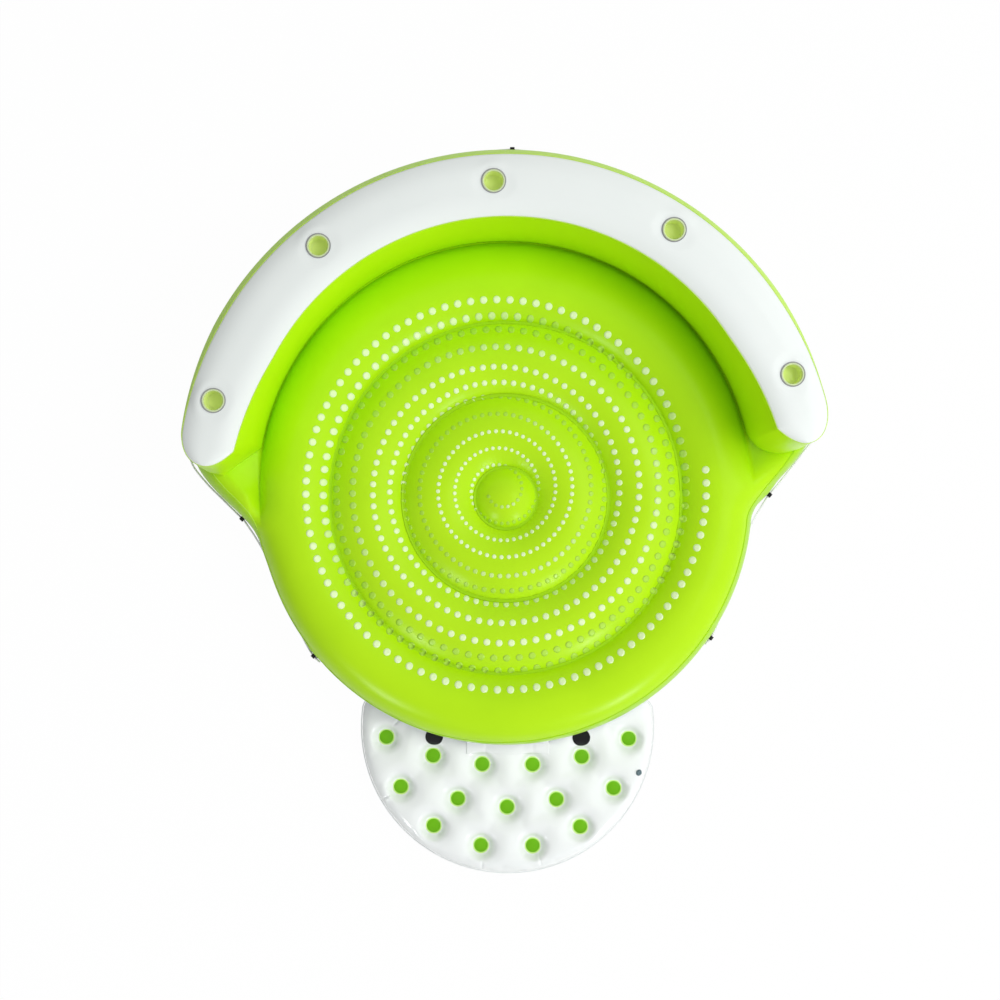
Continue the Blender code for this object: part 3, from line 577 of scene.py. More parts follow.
# Profile of the top sheet from the ring's inner crease to the equator weld
def deckRow(azimuth):
    power, crest, low, high = hull["power"], hull["crest"], hull["equatorZ"], hull["crestZ"]
    rise = riseOf(azimuth)
    right = rightShare(azimuth)
    share = mix(smoothStep(*hull["foldLeft"], rise), smoothStep(*hull["foldRight"], rise), right)
    outer = hullRadius(azimuth)
    crease = reachFrom(hull["creaseBack"], hull["creaseCentreY"], rise)
    lift = hull["pucker"] * ripple(azimuth, hull["waves"])
    half = crest - hull["floorEdges"][0]
    points = []
    for k in range(21):
        away = half * (1.0 - k / 20)
        z = hull["creaseZ"] + capRise(away, half, high - hull["creaseZ"])
        points.append((crest - away, z + lift * math.exp((away - half) / 0.03)))
    backReach = crease + hull["slack"]
    stops = [stopAngle(crease, reach) for reach in (outer, backReach)]
    for k in range(1, 25):
        front = arcPoint(crest, outer - crest, low, high, mix(90.0, stops[0], k / 24), power)
        back = arcPoint(crest, backReach - crest, low, high, mix(90.0, stops[1], k / 24), power)
        points.append((mix(front[0], back[0], share), mix(front[1], back[1], share)))
    foot = arcPoint(crest, backReach - crest, low, high, stops[1], power)[1]
    shoulder = mix(hull["edgeLeft"], hull["edgeRight"], right)
    edge = min(mix(shoulder, hull["edgeBack"], smoothStep(*hull["edgeRise"], rise)), 0.7 * (outer - crease))
    for k in range(1, 31):
        front = arcPoint(crest, outer - crest, low, high, stops[0] * (1.0 - k / 30), power)
        if k <= 12:
            r = mix(crease, outer - edge, k / 12)
            back = (r, mix(foot, hull["seatZ"], 1.0 - (1.0 - k / 12) ** 1.3))
        else:
            back = arcPoint(outer - edge, edge, low, hull["seatZ"], 90.0 * (1.0 - (k - 12) / 18), power)
        points.append((mix(front[0], back[0], share), mix(front[1], back[1], share)))
    return points


# Rows of (radius, height) all round, as one sheet
def roundSheet(steps, rowAt):
    rows = [rowAt(360.0 * k / steps) for k in range(steps)]
    count = len(rows[0]) - 1

    def place(u, v):
        k = round(u * steps) % steps
        r, z = rows[k][round(v * count)]
        return polar(r, 360.0 * k / steps, z)

    return shapedGrid(steps, count, place)


def makeDeck():
    bm = roundSheet(hull["steps"], deckRow)
    pressFlat(bm, hullFittings)
    piece = pieceFrom("floatDeck", bm, "limeVinyl", ["hull_deck"])
    thicken(piece)
    return piece


# How far the side sheet's upper weld lies inside the hull's outline
def weldInset(azimuth):
    right = rightShare(azimuth)
    front = mix(0.008, 0.031, smoothStep(0.2, 0.8, right))
    return mix(front, 0.064, smoothStep(mix(-9.0, -4.0, right), mix(3.0, 8.0, right), riseOf(azimuth)))


# Side sheet lapped over the top sheet, from that weld down to the equator
sideSheet = {"thickness": 0.0014, "lift": 0.0018, "weld": (171.0, 206.0), "weldRadius": 0.0019,
             "weldLift": 0.0012}


def heightAt(row, r):
    return float(numpy.interp(r, [p[0] for p in row], [p[1] for p in row]))


def bandRow(azimuth):
    row = deckRow(azimuth)[26:]
    outer = hullRadius(azimuth)
    start = outer - weldInset(azimuth)
    radii = [start + (outer - start) * math.sin(math.radians(9.0 * k)) for k in range(11)]
    line = [(r, heightAt(row, r)) for r in radii]
    points = []
    for k, (r, z) in enumerate(line):
        before, after = line[max(k - 1, 0)], line[min(k + 1, 10)]
        across = unit(before[1] - after[1], after[0] - before[0])
        points.append((r + sideSheet["lift"] * across[0], z + sideSheet["lift"] * across[1]))
    return points


def makeBand():
    bm = roundSheet(hull["steps"], bandRow)
    pressFlat(bm, hullFittings, -0.0001)
    # Its darker lime is partly painted shade
    piece = pieceFrom("sideBand", bm, "sideVinylPaintedShade")
    thicken(piece, sideSheet["thickness"])
    return piece


# Bead of the side sheet's upper weld where it shows on the left shoulder
def makeSideWeld():
    line = []
    for k in range(61):
        azimuth = mix(*sideSheet["weld"], k / 60)
        row = deckRow(azimuth)[26:]
        r = hullRadius(azimuth) - weldInset(azimuth) - sideSheet["weldLift"]
        line.append(polar(r, azimuth, heightAt(row, r) + sideSheet["weldLift"]))
    bead("sideWeld", line, sideSheet["weldRadius"], False, "seamVinyl")


def makeBottom():
    def rowAt(azimuth):
        outer = hullRadius(azimuth)
        points = [(outer, 0.1897), (outer - 0.001, 0.16), (outer - 0.009, 0.13), (outer - 0.0185, 0.10)]
        points += [(outer - 0.036, 0.065), (outer - 0.06, 0.035), (outer - 0.083, 0.013)]
        points.append((outer - 0.12, 0.001))
        for crease in hull["floorEdges"][:2]:
            for step in (0.07, 0.045, 0.028, 0.012, 0.0, -0.012, -0.028, -0.045, -0.07):
                points.append((crease + step, hull["groove"] * math.exp(-(step / 0.022) ** 2)))
        return points + [(0.2, 0.0), (0.0, 0.0)]

    bm = roundSheet(360, rowAt)
    piece = pieceFrom("floatBottom", bm, "whiteVinyl", ["hull_bottom"])
    thicken(piece)
    return piece


def makeFloorRing(name, node, inner, outer, phase):
    half = 0.5 * (outer - inner)
    low = hull["creaseZ"]
    profile = []
    for k in range(37):
        away = half * (k / 18 - 1.0)
        profile.append((inner + half + away, low + capRise(away, half, hull["floorCrest"] - low)))
    bm = bmesh.new()
    lathe(bm, profile, 480)
    for vert in bm.verts:
        r = vert.co.xy.length
        azimuth = math.degrees(math.atan2(vert.co.y, vert.co.x))
        near = min(r - inner, outer - r)
        vert.co.z += hull["pucker"] * ripple(azimuth + phase, hull["waves"]) * math.exp(-near / 0.028)
    piece = pieceFrom(name, bm, "limeFloorVinyl", [node])
    thicken(piece)
    return piece


def makeDome():
    radius = hull["floorEdges"][2]
    rise = hull["floorCrest"] - hull["creaseZ"]
    profile = [(radius * k / 24, hull["creaseZ"] + capRise(radius * k / 24, radius, rise)) for k in range(25)]
    bm = bmesh.new()
    lathe(bm, profile, 240)
    piece = pieceFrom("floorDome", bm, "limeFloorVinyl", ["floor_dome"])
    thicken(piece)
    return piece


# Soft weld at the bottom of each groove between two floor chambers, coloured a darker lime as painted shade
# in the groove
def makeFloorWeld(name, radius):
    z = hull["creaseZ"]
    profile = [(radius - 0.009, z + 0.0085), (radius - 0.004, z + 0.0058), (radius, z + 0.0052),
               (radius + 0.004, z + 0.0058), (radius + 0.008, z + 0.0090), (radius, z - 0.002)]
    bm = bmesh.new()
    lathe(bm, profile, 360, ring=True)
    pieceFrom(name, bm, "grooveVinylPaintedShade")


deck = makeDeck()
band = makeBand()
makeSideWeld()
bottom = makeBottom()
outerEdge, middleEdge, innerEdge = hull["floorEdges"]
floorPieces = [
    deck,
    makeFloorRing("floorRingMiddle", "floor_ring_middle", middleEdge, outerEdge, 40.0),
    makeFloorRing("floorRingInner", "floor_ring_inner", innerEdge, middleEdge, 95.0),
    makeDome()]
for number, radius in enumerate(hull["floorEdges"], 1):
    makeFloorWeld("floorWeld_%d" % number, radius)
deckTree = treeOf(*floorPieces)
print("hull ready")


# Backrest

backrest = {
    "topZ": 0.775, "outer": 1.301, "inner": 1.051, "flare": 0.014, "step": 0.004, "outerBulge": 0.046,
    "innerBulge": 0.018, "end": 11.84, "endReach": 1.5, "crown": 0.0247, "corner": 0.45,
    "neck": 0.042, "lobe": 0.008,
}


# Half width of the backrest's round end: the top's inner side has a corner, the left foot a slant
def endWidth(level, bend, across, left):
    plain = max(math.cos(bend), 0.0)
    if across > 0.0:
        return across * mix(plain ** 0.5, plain ** 0.85, level)
    rest = max(math.sin(bend) - backrest["corner"], 0.0) / (1.0 - backrest["corner"])
    foot = max(1.0 - bend / (0.5 * math.pi), 0.0) ** 1.9 if left else plain
    return across * mix(foot, max(1.0 - rest, 0.0) ** 0.535, level)


# How far towards an end a place lies, from 0 well before it to 1 at its corner
def nearEnd(station, bend):
    before = min(max(station, 0.0), max(1.0 - station, 0.0)) * 3.0
    left = 0.055 * max(1.0 - math.sin(bend) / backrest["corner"], 0.0) + before
    return max(1.0 - left / 0.42, 0.0)


def backPoint(level, station, across):
    first = backrest["end"] - backrest["endReach"] * (1.0 - level)
    inside = min(max(station, 0.0), 1.0)
    degrees = mix(first, 180.0 - first, inside)
    bend = math.radians(90.0 * min(abs(station - inside), 1.0))
    near = nearEnd(station, bend)
    left = station > 0.5
    shift = (hull["backCentreY"] - hull["creaseCentreY"]) * (1.0 - level)
    radius = mix(hull["creaseBack"] + backrest["step"], backrest["inner"], level)
    inner = reachFrom(radius, -shift, degrees)
    outer = backrest["outer"] + backrest["flare"] * (1.0 - level)
    more = mix(0.0, 0.012, level) if left else mix(0.012, 0.030, level)
    reach = (0.5 * (outer - inner) + more) * math.sin(bend)
    inner += backrest["neck"] * near ** 1.3 * level
    outer += backrest["lobe"] * near * level
    swell = backrest["outerBulge"] * (1.0 - 0.4 * near) if across > 0.0 else backrest["innerBulge"]
    away = 0.5 * (inner + outer) + 0.5 * (outer - inner) * endWidth(level, bend, across, left)
    away += across * swell * math.sin(math.pi * level) * math.cos(bend) ** 1.5
    radial = polar(1.0, degrees)
    forward = polar(1.0, degrees - 90.0 if station < 0.5 else degrees + 90.0)
    return Vector((0.0, hull["backCentreY"], 0.0)) + away * radial + reach * forward


# Share of the way round the wall to a station and a side
def wallPlace(u):
    stops = (0.0, 0.045, 0.5, 0.545, 0.59, 0.955, 1.0)
    values = ((-1.0, 0.0), (0.0, 1.0), (1.0, 2.0), (2.0, 1.0), (1.0, 0.0), (0.0, -1.0))
    for k, (first, last) in enumerate(values):
        if u <= stops[k + 1]:
            share = (u - stops[k]) / (stops[k + 1] - stops[k])
            return mix(first, last, share), 1.0 if k < 3 else -1.0
    return -1.0, -1.0


def makeWall():
    bases = {}

    def place(u, v):
        station, across = wallPlace(u)
        point = backPoint(v, station, across)
        if u not in bases:
            foot = backPoint(0.0, station, across)
            hit = deckTree.ray_cast(foot + Vector((0.0, 0.0, 1.0)), down)[0]
            bases[u] = hull["seatZ"] if hit is None else hit.z - 0.003
        point.z = mix(bases[u], backrest["topZ"] + 0.002, v)
        return point

    bm = shapedGrid(640, 34, place)
    pressFlat(bm, wallFittings)
    # The wall's brighter lime is painted light
    piece = pieceFrom("backrestWall", bm, "wallVinylPaintedLight", ["backrest_wall"])
    thicken(piece)
    return piece


cup = {"hole": 0.0432, "radius": 0.0405, "depth": 0.09, "wall": 0.0015, "ring": 0.051}
cupTop = backrest["topZ"] + 0.0033 + backrest["crown"] + 0.0003
cupPlaces = [Vector((*boxMiddle("cup_well_%d" % number).xy, cupTop)) for number in range(1, 6)]


def panelPoint(station, across):
    beyond = abs(station - min(max(station, 0.0), 1.0))
    share = max(1.0 - abs(across) ** 3.0, 0.0)
    crown = 0.028 * math.cos(math.radians(90.0 * min(beyond, 1.0))) ** 0.5 * share
    point = backPoint(1.0, station, across)
    point.z = backrest["topZ"] + 0.0033 + crown
    near = min((point.xy - place.xy).length for place in cupPlaces)
    press = 1.0 - smoothStep(0.052, 0.10, near)
    point.z = mix(point.z, cupTop - 0.0006, press)
    return point


def makePanel():
    def place(u, v):
        ends = 0.08
        if u < ends:
            station = u / ends - 1.0
        elif u > 1.0 - ends:
            station = 1.0 + (u - 1.0 + ends) / ends
        else:
            station = (u - ends) / (1.0 - 2.0 * ends)
        return panelPoint(station, 2.0 * v - 1.0)

    bm = shapedGrid(500, 36, place)
    nodes = ["backrest_panel_right", "backrest_panel_back", "backrest_panel_left"]
    piece = pieceFrom("backrestPanel", bm, "whiteVinyl", nodes)
    thicken(piece)
    bm = bmesh.new()
    for spot in cupPlaces:
        bmesh.ops.create_cone(bm, cap_ends=True, segments=64, radius1=cup["hole"], radius2=cup["hole"],
                              depth=0.06, matrix=Matrix.Translation(spot))
    mesh = bpy.data.meshes.new("cupHoles")
    bm.to_mesh(mesh)
    bm.free()
    cutter = bpy.data.objects.new("cupHoles", mesh)
    bpy.context.scene.collection.objects.link(cutter)
    modifier = piece.modifiers.new("holes", "BOOLEAN")
    modifier.operation = "DIFFERENCE"
    modifier.solver = "EXACT"
    modifier.object = cutter
    applyModifiers(piece)
    bpy.data.objects.remove(cutter)


def applyModifiers(piece):
    bpy.context.view_layer.update()
    graph = bpy.context.evaluated_depsgraph_get()
    mesh = bpy.data.meshes.new_from_object(piece.evaluated_get(graph))
    piece.modifiers.clear()
    piece.data = mesh


def makeSeams():
    line = []
    for k in range(600):
        station, across = wallPlace(k / 600)
        point = backPoint(1.0, station, across)
        point.z = backrest["topZ"] + 0.0026
        line.append(point)
    bead("panelSeam", line, 0.0022, True, "seamVinyl")
    line = [polar(hullRadius(k / 1.5), k / 1.5, hull["equatorZ"]) for k in range(540)]
    bead("hullSeam", line, 0.0026, True, "clearSeamVinyl")


wall = makeWall()
makePanel()
makeSeams()
print("backrest ready")


# Cup holders

def makeCup(number, spot):
    radius = cup["radius"]
    lip = cup["ring"] - 0.0035
    top = cup["wall"]
    low = top - cup["depth"]
    floor = radius - 0.0035
    profile = [(0.0, low + 0.002), (0.012, low + 0.0016), (0.026, low + 0.0005), (floor - 0.002, low),
               (floor, low + 0.002), (radius - 0.0006, top - 0.006), (radius, top - 0.0016),
               (radius + 0.0013, top), (lip, top), (lip, 0.0002), (radius + 0.0016, 0.0),
               (radius + 0.0012, -0.006), (floor + 0.0015, low + 0.001), (floor - 0.001, low - 0.0014),
               (0.0, low - 0.0012)]
    bm = bmesh.new()
    lathe(bm, profile, 72)
    for vert in bm.verts:
        angle = math.atan2(vert.co.y, vert.co.x)
        inside = smoothStep(-0.085, -0.05, vert.co.z) * (1.0 - smoothStep(-0.03, -0.004, vert.co.z))
        vert.co.xy *= 1.0 - 0.035 * inside * (0.5 + 0.5 * math.sin(5.0 * angle + number))
    bmesh.ops.translate(bm, verts=bm.verts[:], vec=spot)
    # The well's finish glows as painted light
    pieceFrom("cupHolder_%d" % number, bm, "cupOlive", ["cup_well_%d" % number])

    over = top + 0.0003
    profile = [(0.0500, 0.0004), (0.0498, over + 0.0006), (0.0488, over + 0.0020), (0.0466, over + 0.0020),
               (0.0455, over + 0.0008), (0.0453, over), (0.0482, over), (0.0482, 0.0004)]
    bm = bmesh.new()
    lathe(bm, profile, 240, ring=True)
    for vert in bm.verts:
        if vert.co.z > over + 0.0015:
            step = round(math.degrees(math.atan2(vert.co.y, vert.co.x)) / 1.5)
            vert.co.z -= 0.0014 * (step % 4 // 2)
            vert.co.xy *= 1.0 - 0.012 * (step % 4 // 2)
    bmesh.ops.translate(bm, verts=bm.verts[:], vec=spot)
    pieceFrom("cupRing_%d" % number, bm, "knurlGrey", ["cup_ring_%d" % number])
    bm = bmesh.new()
    profile = [(0.0450, over), (0.0450, over + 0.001), (0.0438, over + 0.0016), (0.0405, over + 0.0016),
               (0.0390, over + 0.0008), (0.0386, over - 0.004), (0.0392, over - 0.004), (0.0402, over)]
    lathe(bm, profile, 96, ring=True)
    bmesh.ops.translate(bm, verts=bm.verts[:], vec=spot)
    pieceFrom("cupLip_%d" % number, bm, "cupPale")


for number, spot in enumerate(cupPlaces, 1):
    makeCup(number, spot)
print("cup holders ready")


# Printed spots: one long spiral from the outermost ring to the dome

# light, lean and tones paint sheen and shade into the spots: each spot's tone follows how it faces that light
dots = {"start": 3.05, "turns": 11.5, "radius": 0.0158, "smallRadius": 0.0078,
        "spacing": (0.026, 0.0555), "middle": Vector((-0.02, 0.035, 1.0)), "tones": (0.82, 0.94),
        "light": Vector((0.05, 0.0, 0.96)), "lean": 0.25,
        "outermost": 0.8665, "pitch": 0.0706, "wobble": 0.0106, "calmTurns": 8.0}


def spiralRadius(turns):
    wobble = dots["wobble"] * math.sin(0.5 * math.pi * turns) if turns < dots["calmTurns"] else 0.0
    return dots["outermost"] - dots["pitch"] * turns - wobble


def dotShape():
    bm = bmesh.new()
    bmesh.ops.create_cone(bm, cap_ends=True, segments=14, radius1=1.0, radius2=1.0, depth=2.0)
    top = [face for face in bm.faces if face.normal.z > 0.9]
    bmesh.ops.inset_region(bm, faces=top, thickness=0.5)
    top = [face for face in bm.faces if face.normal.z > 0.9 and len(face.verts) > 4]
    bmesh.ops.poke(bm, faces=top)
    mesh = bpy.data.meshes.new("dotShape")
    bm.to_mesh(mesh)
    bm.free()
    return mesh


def makeDots():
    shape = dotShape()
    count = len(shape.vertices)
    bm = bmesh.new()
    tones = []
    turns = 0.0
    while turns < dots["turns"] and spiralRadius(turns) > 0.05:
        radius = spiralRadius(turns)
        far = smoothStep(0.1, 0.8, radius)
        size = mix(dots["smallRadius"], dots["radius"], far)
        spot = polar(radius, dots["start"] - 360.0 * turns) + dots["middle"]
        hit, normal, _, _ = deckTree.ray_cast(spot, down)
        if hit is not None:
            bm.from_mesh(shape)
            bm.verts.ensure_lookup_table()
            away = Vector((spot.x, spot.y, 0.0)).normalized()
            # Painted sheen and shade: the tone follows how the spot faces a set light direction
            facing = normal.dot(dots["light"]) - dots["lean"] * normal.dot(away)
            tone = smoothStep(*dots["tones"], facing)
            for vert in bm.verts[-count:]:
                above = 0.0005 if vert.co.z > 0.0 else -0.0008
                x, y = spot.x + size * vert.co.x, spot.y + size * vert.co.y
                vert.co = (x, y, deckTree.ray_cast(Vector((x, y, 1.0)), down)[0].z + above)
                tones.append(tone)
        turns += mix(*dots["spacing"], far) / (math.tau * radius)
    piece = pieceFrom("floorDots", bm, "dotPrintAndSheen")
    layer = piece.data.attributes.new("tone", "FLOAT", "POINT")
    layer.data.foreach_set("value", tones)


makeDots()
print("printed spots ready")


# Boarding pad

pad = {
    "radius": 0.639, "centreY": -1.000, "inner": 1.032, "fillet": 0.06, "midZ": 0.056, "crestZ": 0.112,
    "edge": 0.054, "spotZ": 0.066, "spotRadius": 0.0298, "spotFlat": 0.043, "spotRing": 0.075,
    "rows": ((0.141, (26.8, 16.06)), (0.136, (5.4,)), (0.314, (20.2,)), (0.2995, (9.3,)), (0.3165, ()),
             (0.436, (12.6,)), (0.489, (4.26,))),
    "creases": (((-0.483, -0.979), 40.0), ((-0.094, -1.094), 88.0), ((-0.528, -1.306), 32.0),
                ((-0.108, -1.604), 84.0), ((0.111, -1.088), 92.0), ((0.145, -1.576), 102.0)),
    "creaseHalf": 0.03, "creaseDepth": 0.006, "voxel": 0.008, "pressure": 5.0, "move": 0.02, "highest": 0.124,
}


def padOutline(inset, dense):
    near = pad["inner"] + pad["fillet"]
    far = pad["radius"] - pad["fillet"]
    y = (near ** 2 - far ** 2 + pad["centreY"] ** 2) / (2.0 * pad["centreY"])
    x = math.sqrt(near ** 2 - y ** 2)
    low = math.degrees(math.atan2(y - pad["centreY"], x))
    high = math.degrees(math.atan2(-y, -x))
    corner = pad["fillet"] - inset
    arcs = ((pad["radius"] - inset, 180.0 - low, 360.0 + low, (0.0, pad["centreY"]), 26 * dense),
            (corner, low, high, (x, y), 4 * dense),
            (pad["inner"] + inset, high - 180.0, -high, (0.0, 0.0), 14 * dense),
            (corner, 180.0 - high, 180.0 - low, (-x, y), 4 * dense))
    points = []
    for radius, first, last, middle, count in arcs:
        for k in range(count):
            points.append(polar(radius, mix(first, last, k / count)) + Vector((*middle, 0.0)))
    return points


def padSpots():
    places = []
    for beyond, angles in pad["rows"]:
        turns = [sign * angle for angle in angles for sign in (-1.0, 1.0)] or [0.0]
        places += [polar(pad["inner"] + beyond, -90.0 + turn) for turn in turns]
    return sorted(places, key=lambda p: (-round(p.y, 2), p.x))


def padTop(x, y, spots):
    nearest = min((spot.xy - Vector((x, y))).length for spot in spots)
    share = min(max((nearest - pad["spotFlat"]) / (pad["spotRing"] - pad["spotFlat"]), 0.0), 1.0)
    return mix(pad["spotZ"], pad["crestZ"], math.sin(0.5 * math.pi * share) ** 0.8)


def makePad():
    spots = padSpots()
    bm = bmesh.new()
    edge = pad["edge"]
    high = pad["crestZ"] - 0.006 - pad["midZ"]
    low = pad["midZ"] - 0.003
    loops = []
    for k in range(13):
        turn = math.radians(mix(90.0, -90.0, k / 12))
        inset = edge * (1.0 - math.cos(turn)) + 0.003
        height = pad["midZ"] + math.sin(turn) * (high if turn > 0 else low)
        verts = [bm.verts.new((p.x, p.y, height)) for p in padOutline(inset, 2)]
        loops.append([bm.edges.new((a, b)) for a, b in zip(verts, verts[1:] + verts[:1])])
    for first, second in zip(loops, loops[1:]):
        bmesh.ops.bridge_loops(bm, edges=first + second)
    for loop in (loops[0], loops[-1]):
        bmesh.ops.contextual_create(bm, geom=loop)
    bmesh.ops.recalc_face_normals(bm, faces=bm.faces[:])
    mesh = bpy.data.meshes.new("boardingPad")
    bm.to_mesh(mesh)
    bm.free()
    piece = bpy.data.objects.new("boardingPad", mesh)
    bpy.context.scene.collection.objects.link(piece)
    remesh = piece.modifiers.new("remesh", "REMESH")
    remesh.mode = "VOXEL"
    remesh.voxel_size = pad["voxel"]
    applyModifiers(piece)
    for vert in piece.data.vertices:
        if vert.co.z > pad["midZ"] + 0.004:
            vert.co.z = min(vert.co.z, padTop(vert.co.x, vert.co.y, spots))
    inflate(piece, spots)
    smooth = piece.modifiers.new("soft", "SUBSURF")
    smooth.levels = 1
    smooth.render_levels = 1
    applyModifiers(piece)
    for vert in piece.data.vertices:
        for spot, degrees in pad["creases"]:
            away = turned((vert.co.x - spot[0], vert.co.y - spot[1], 0.0), -degrees)
            if vert.co.z > pad["midZ"] and abs(away.x) < pad["creaseHalf"]:
                fade = 1.0 - (away.x / pad["creaseHalf"]) ** 2
                vert.co.z -= pad["creaseDepth"] * fade * math.exp(-(away.y / 0.0045) ** 2)
        vert.co = padPlace(*vert.co)
    piece.data.shade_smooth()
    return dressed(piece, "padVinyl", ["boarding_pad"], "hinge")


# Fills the pad with air: held at its welds and rim, it swells and puckers between them
def inflate(piece, spots):
    start = [v.co.copy() for v in piece.data.vertices]
    held = []
    outline = padOutline(0.0, 4)
    for vert in piece.data.vertices:
        near = min((spot.xy - vert.co.xy).length for spot in spots)
        rim = min((p.xy - vert.co.xy).length for p in outline[::2])
        if near < pad["spotFlat"] or rim < 0.009 and abs(vert.co.z - pad["midZ"]) < 0.012:
            held.append(vert.index)
    group = piece.vertex_groups.new(name="held")
    group.add(held, 1.0, "REPLACE")
    cloth = piece.modifiers.new("air", "CLOTH")
    settings = cloth.settings
    settings.use_pressure = True
    settings.uniform_pressure_force = pad["pressure"]
    settings.vertex_group_mass = "held"
    settings.shrink_min = -0.012
    settings.shrink_max = -0.012
    settings.tension_stiffness = 40.0
    settings.compression_stiffness = 40.0
    settings.bending_stiffness = 4.0
    settings.effector_weights.gravity = 0.0
    scene = bpy.context.scene
    scene.frame_start = 1
    scene.frame_end = 20
    cloth.point_cache.frame_start = 1
    cloth.point_cache.frame_end = 20
    for number in range(1, 21):
        scene.frame_set(number)
    applyModifiers(piece)
    for vert, before in zip(piece.data.vertices, start):
        moved = vert.co - before
        if moved.length > pad["move"]:
            vert.co = before + moved * (pad["move"] / moved.length)
        vert.co.z = min(max(vert.co.z, 0.0006), pad["highest"])
    piece.vertex_groups.clear()
    free = set(range(len(start))) - set(held)
    bm = bmesh.new()
    bm.from_mesh(piece.data)
    bm.verts.ensure_lookup_table()
    for _ in range(6):
        bmesh.ops.smooth_vert(bm, verts=[bm.verts[k] for k in free], factor=0.5, use_axis_x=True,
                              use_axis_y=True, use_axis_z=True)
    bm.to_mesh(piece.data)
    bm.free()


padPiece = makePad()
padTree = treeOf(padPiece)
print("boarding pad ready")


def padHeight(point):
    return padTree.ray_cast(Vector((point.x, point.y, 1.0)), down)[0].z


def makePadDiscs():
    radius = pad["spotRadius"]
    for number, spot in enumerate(padSpots(), 1):
        place = padPlace(spot.x, spot.y, pad["spotZ"])
        profile = [(0.0, 0.0042), (0.5 * radius, 0.0036), (0.8 * radius, 0.0022), (0.93 * radius, 0.001),
                   (radius, 0.0006), (radius, -0.0006), (0.0, -0.0006)]
        bm = bmesh.new()
        lathe(bm, profile, 40)
        bmesh.ops.translate(bm, verts=bm.verts[:], vec=place)
        pieceFrom("padWeld_%02d" % number, bm, "weldLime", ["pad_weld_disc_%02d" % number],
                  "hinge")
        profile = [(radius + 0.0001, 0.0004), (radius + 0.0012, 0.0018), (radius + 0.0042, 0.0016),
                   (radius + 0.0060, 0.0006), (radius + 0.0060, -0.001), (radius + 0.0001, -0.001)]
        bm = bmesh.new()
        lathe(bm, profile, 40, ring=True)
        bmesh.ops.translate(bm, verts=bm.verts[:], vec=place)
        pieceFrom("padWeldRim_%02d" % number, bm, "weldRimPale", (), "hinge")


# Round black patches that lie on the pad's slope by the hull
badge = {"reach": 1.0875, "apart": 17.1, "radius": 0.0385}


def makeBadges():
    for side, name in ((-1.0, "left"), (1.0, "right")):
        middle = padPlace(*polar(badge["reach"], -90.0 + badge["apart"] * side))
        radius = badge["radius"]
        profile = [(0.0, 0.0016), (0.010, 0.0016), (0.020, 0.0016), (0.029, 0.0016), (0.0345, 0.0016),
                   (0.0352, 0.0021), (0.0368, 0.0021), (radius, 0.0012), (radius, -0.0012), (0.029, -0.0012),
                   (0.020, -0.0012), (0.010, -0.0012), (0.0, -0.0012)]
        bm = bmesh.new()
        lathe(bm, profile, 64)
        for vert in bm.verts:
            vert.co += middle
            vert.co.z += padHeight(vert.co)
        pieceFrom("padBadge_" + name, bm, "badgeBlack", ["pad_badge_disc_" + name], "hinge")


# One strip welded to the pad's top and bent up the hull's side
flap = {"width": 0.36, "weld": (-1.112, -1.0632), "fold": (-1.0625, 0.1138), "thickness": 0.0014,
        "lift": 0.0012, "clear": 0.0018, "bow": 0.003}


def makeHingeFlap():
    sides = treeOf(bottom, deck)

    def place(u, v):
        x = flap["width"] * (u - 0.5)
        if v <= 0.5:
            point = padPlace(x, mix(*flap["weld"], 2.0 * v))
            return Vector((point.x, point.y, padHeight(point) + flap["lift"]))
        first = padPlace(x, *flap["fold"])
        azimuth = math.degrees(math.atan2(first.y, first.x))
        hit = sides.ray_cast(polar(1.6, azimuth, 0.17), -polar(1.0, azimuth))[0]
        share = 2.0 * v - 1.0
        point = first.lerp(hit + polar(flap["clear"], azimuth), share)
        return point + polar(flap["bow"] * math.sin(math.pi * share), azimuth)

    bm = shapedGrid(60, 24, place)
    piece = pieceFrom("padHinge", bm, "padVinyl",
                      ["pad_hinge_flap_hull", "pad_hinge_flap_pad"], "hinge")
    thicken(piece, flap["thickness"], 0.0)


def makePadSeam():
    line = [padPlace(p.x, p.y, pad["midZ"]) for p in padOutline(-0.0005, 6)]
    bead("padSeam", line, 0.002, True, "clearSeamVinyl", "hinge")


makePadDiscs()
makeBadges()
makeHingeFlap()
makePadSeam()
print("pad fittings ready")


# Valves

def addBlock(bm, size, middle, matrix, bevel):
    block = bmesh.new()
    bmesh.ops.create_cube(block, size=1.0, matrix=Matrix.Translation(middle) @ Matrix.Diagonal((*size, 1.0)))
    bmesh.ops.bevel(block, geom=block.edges[:], offset=bevel, affect="EDGES", segments=2, profile=0.5,
                    material=-1)
    bmesh.ops.transform(block, matrix=matrix, verts=block.verts[:])
    joined(bm, block)


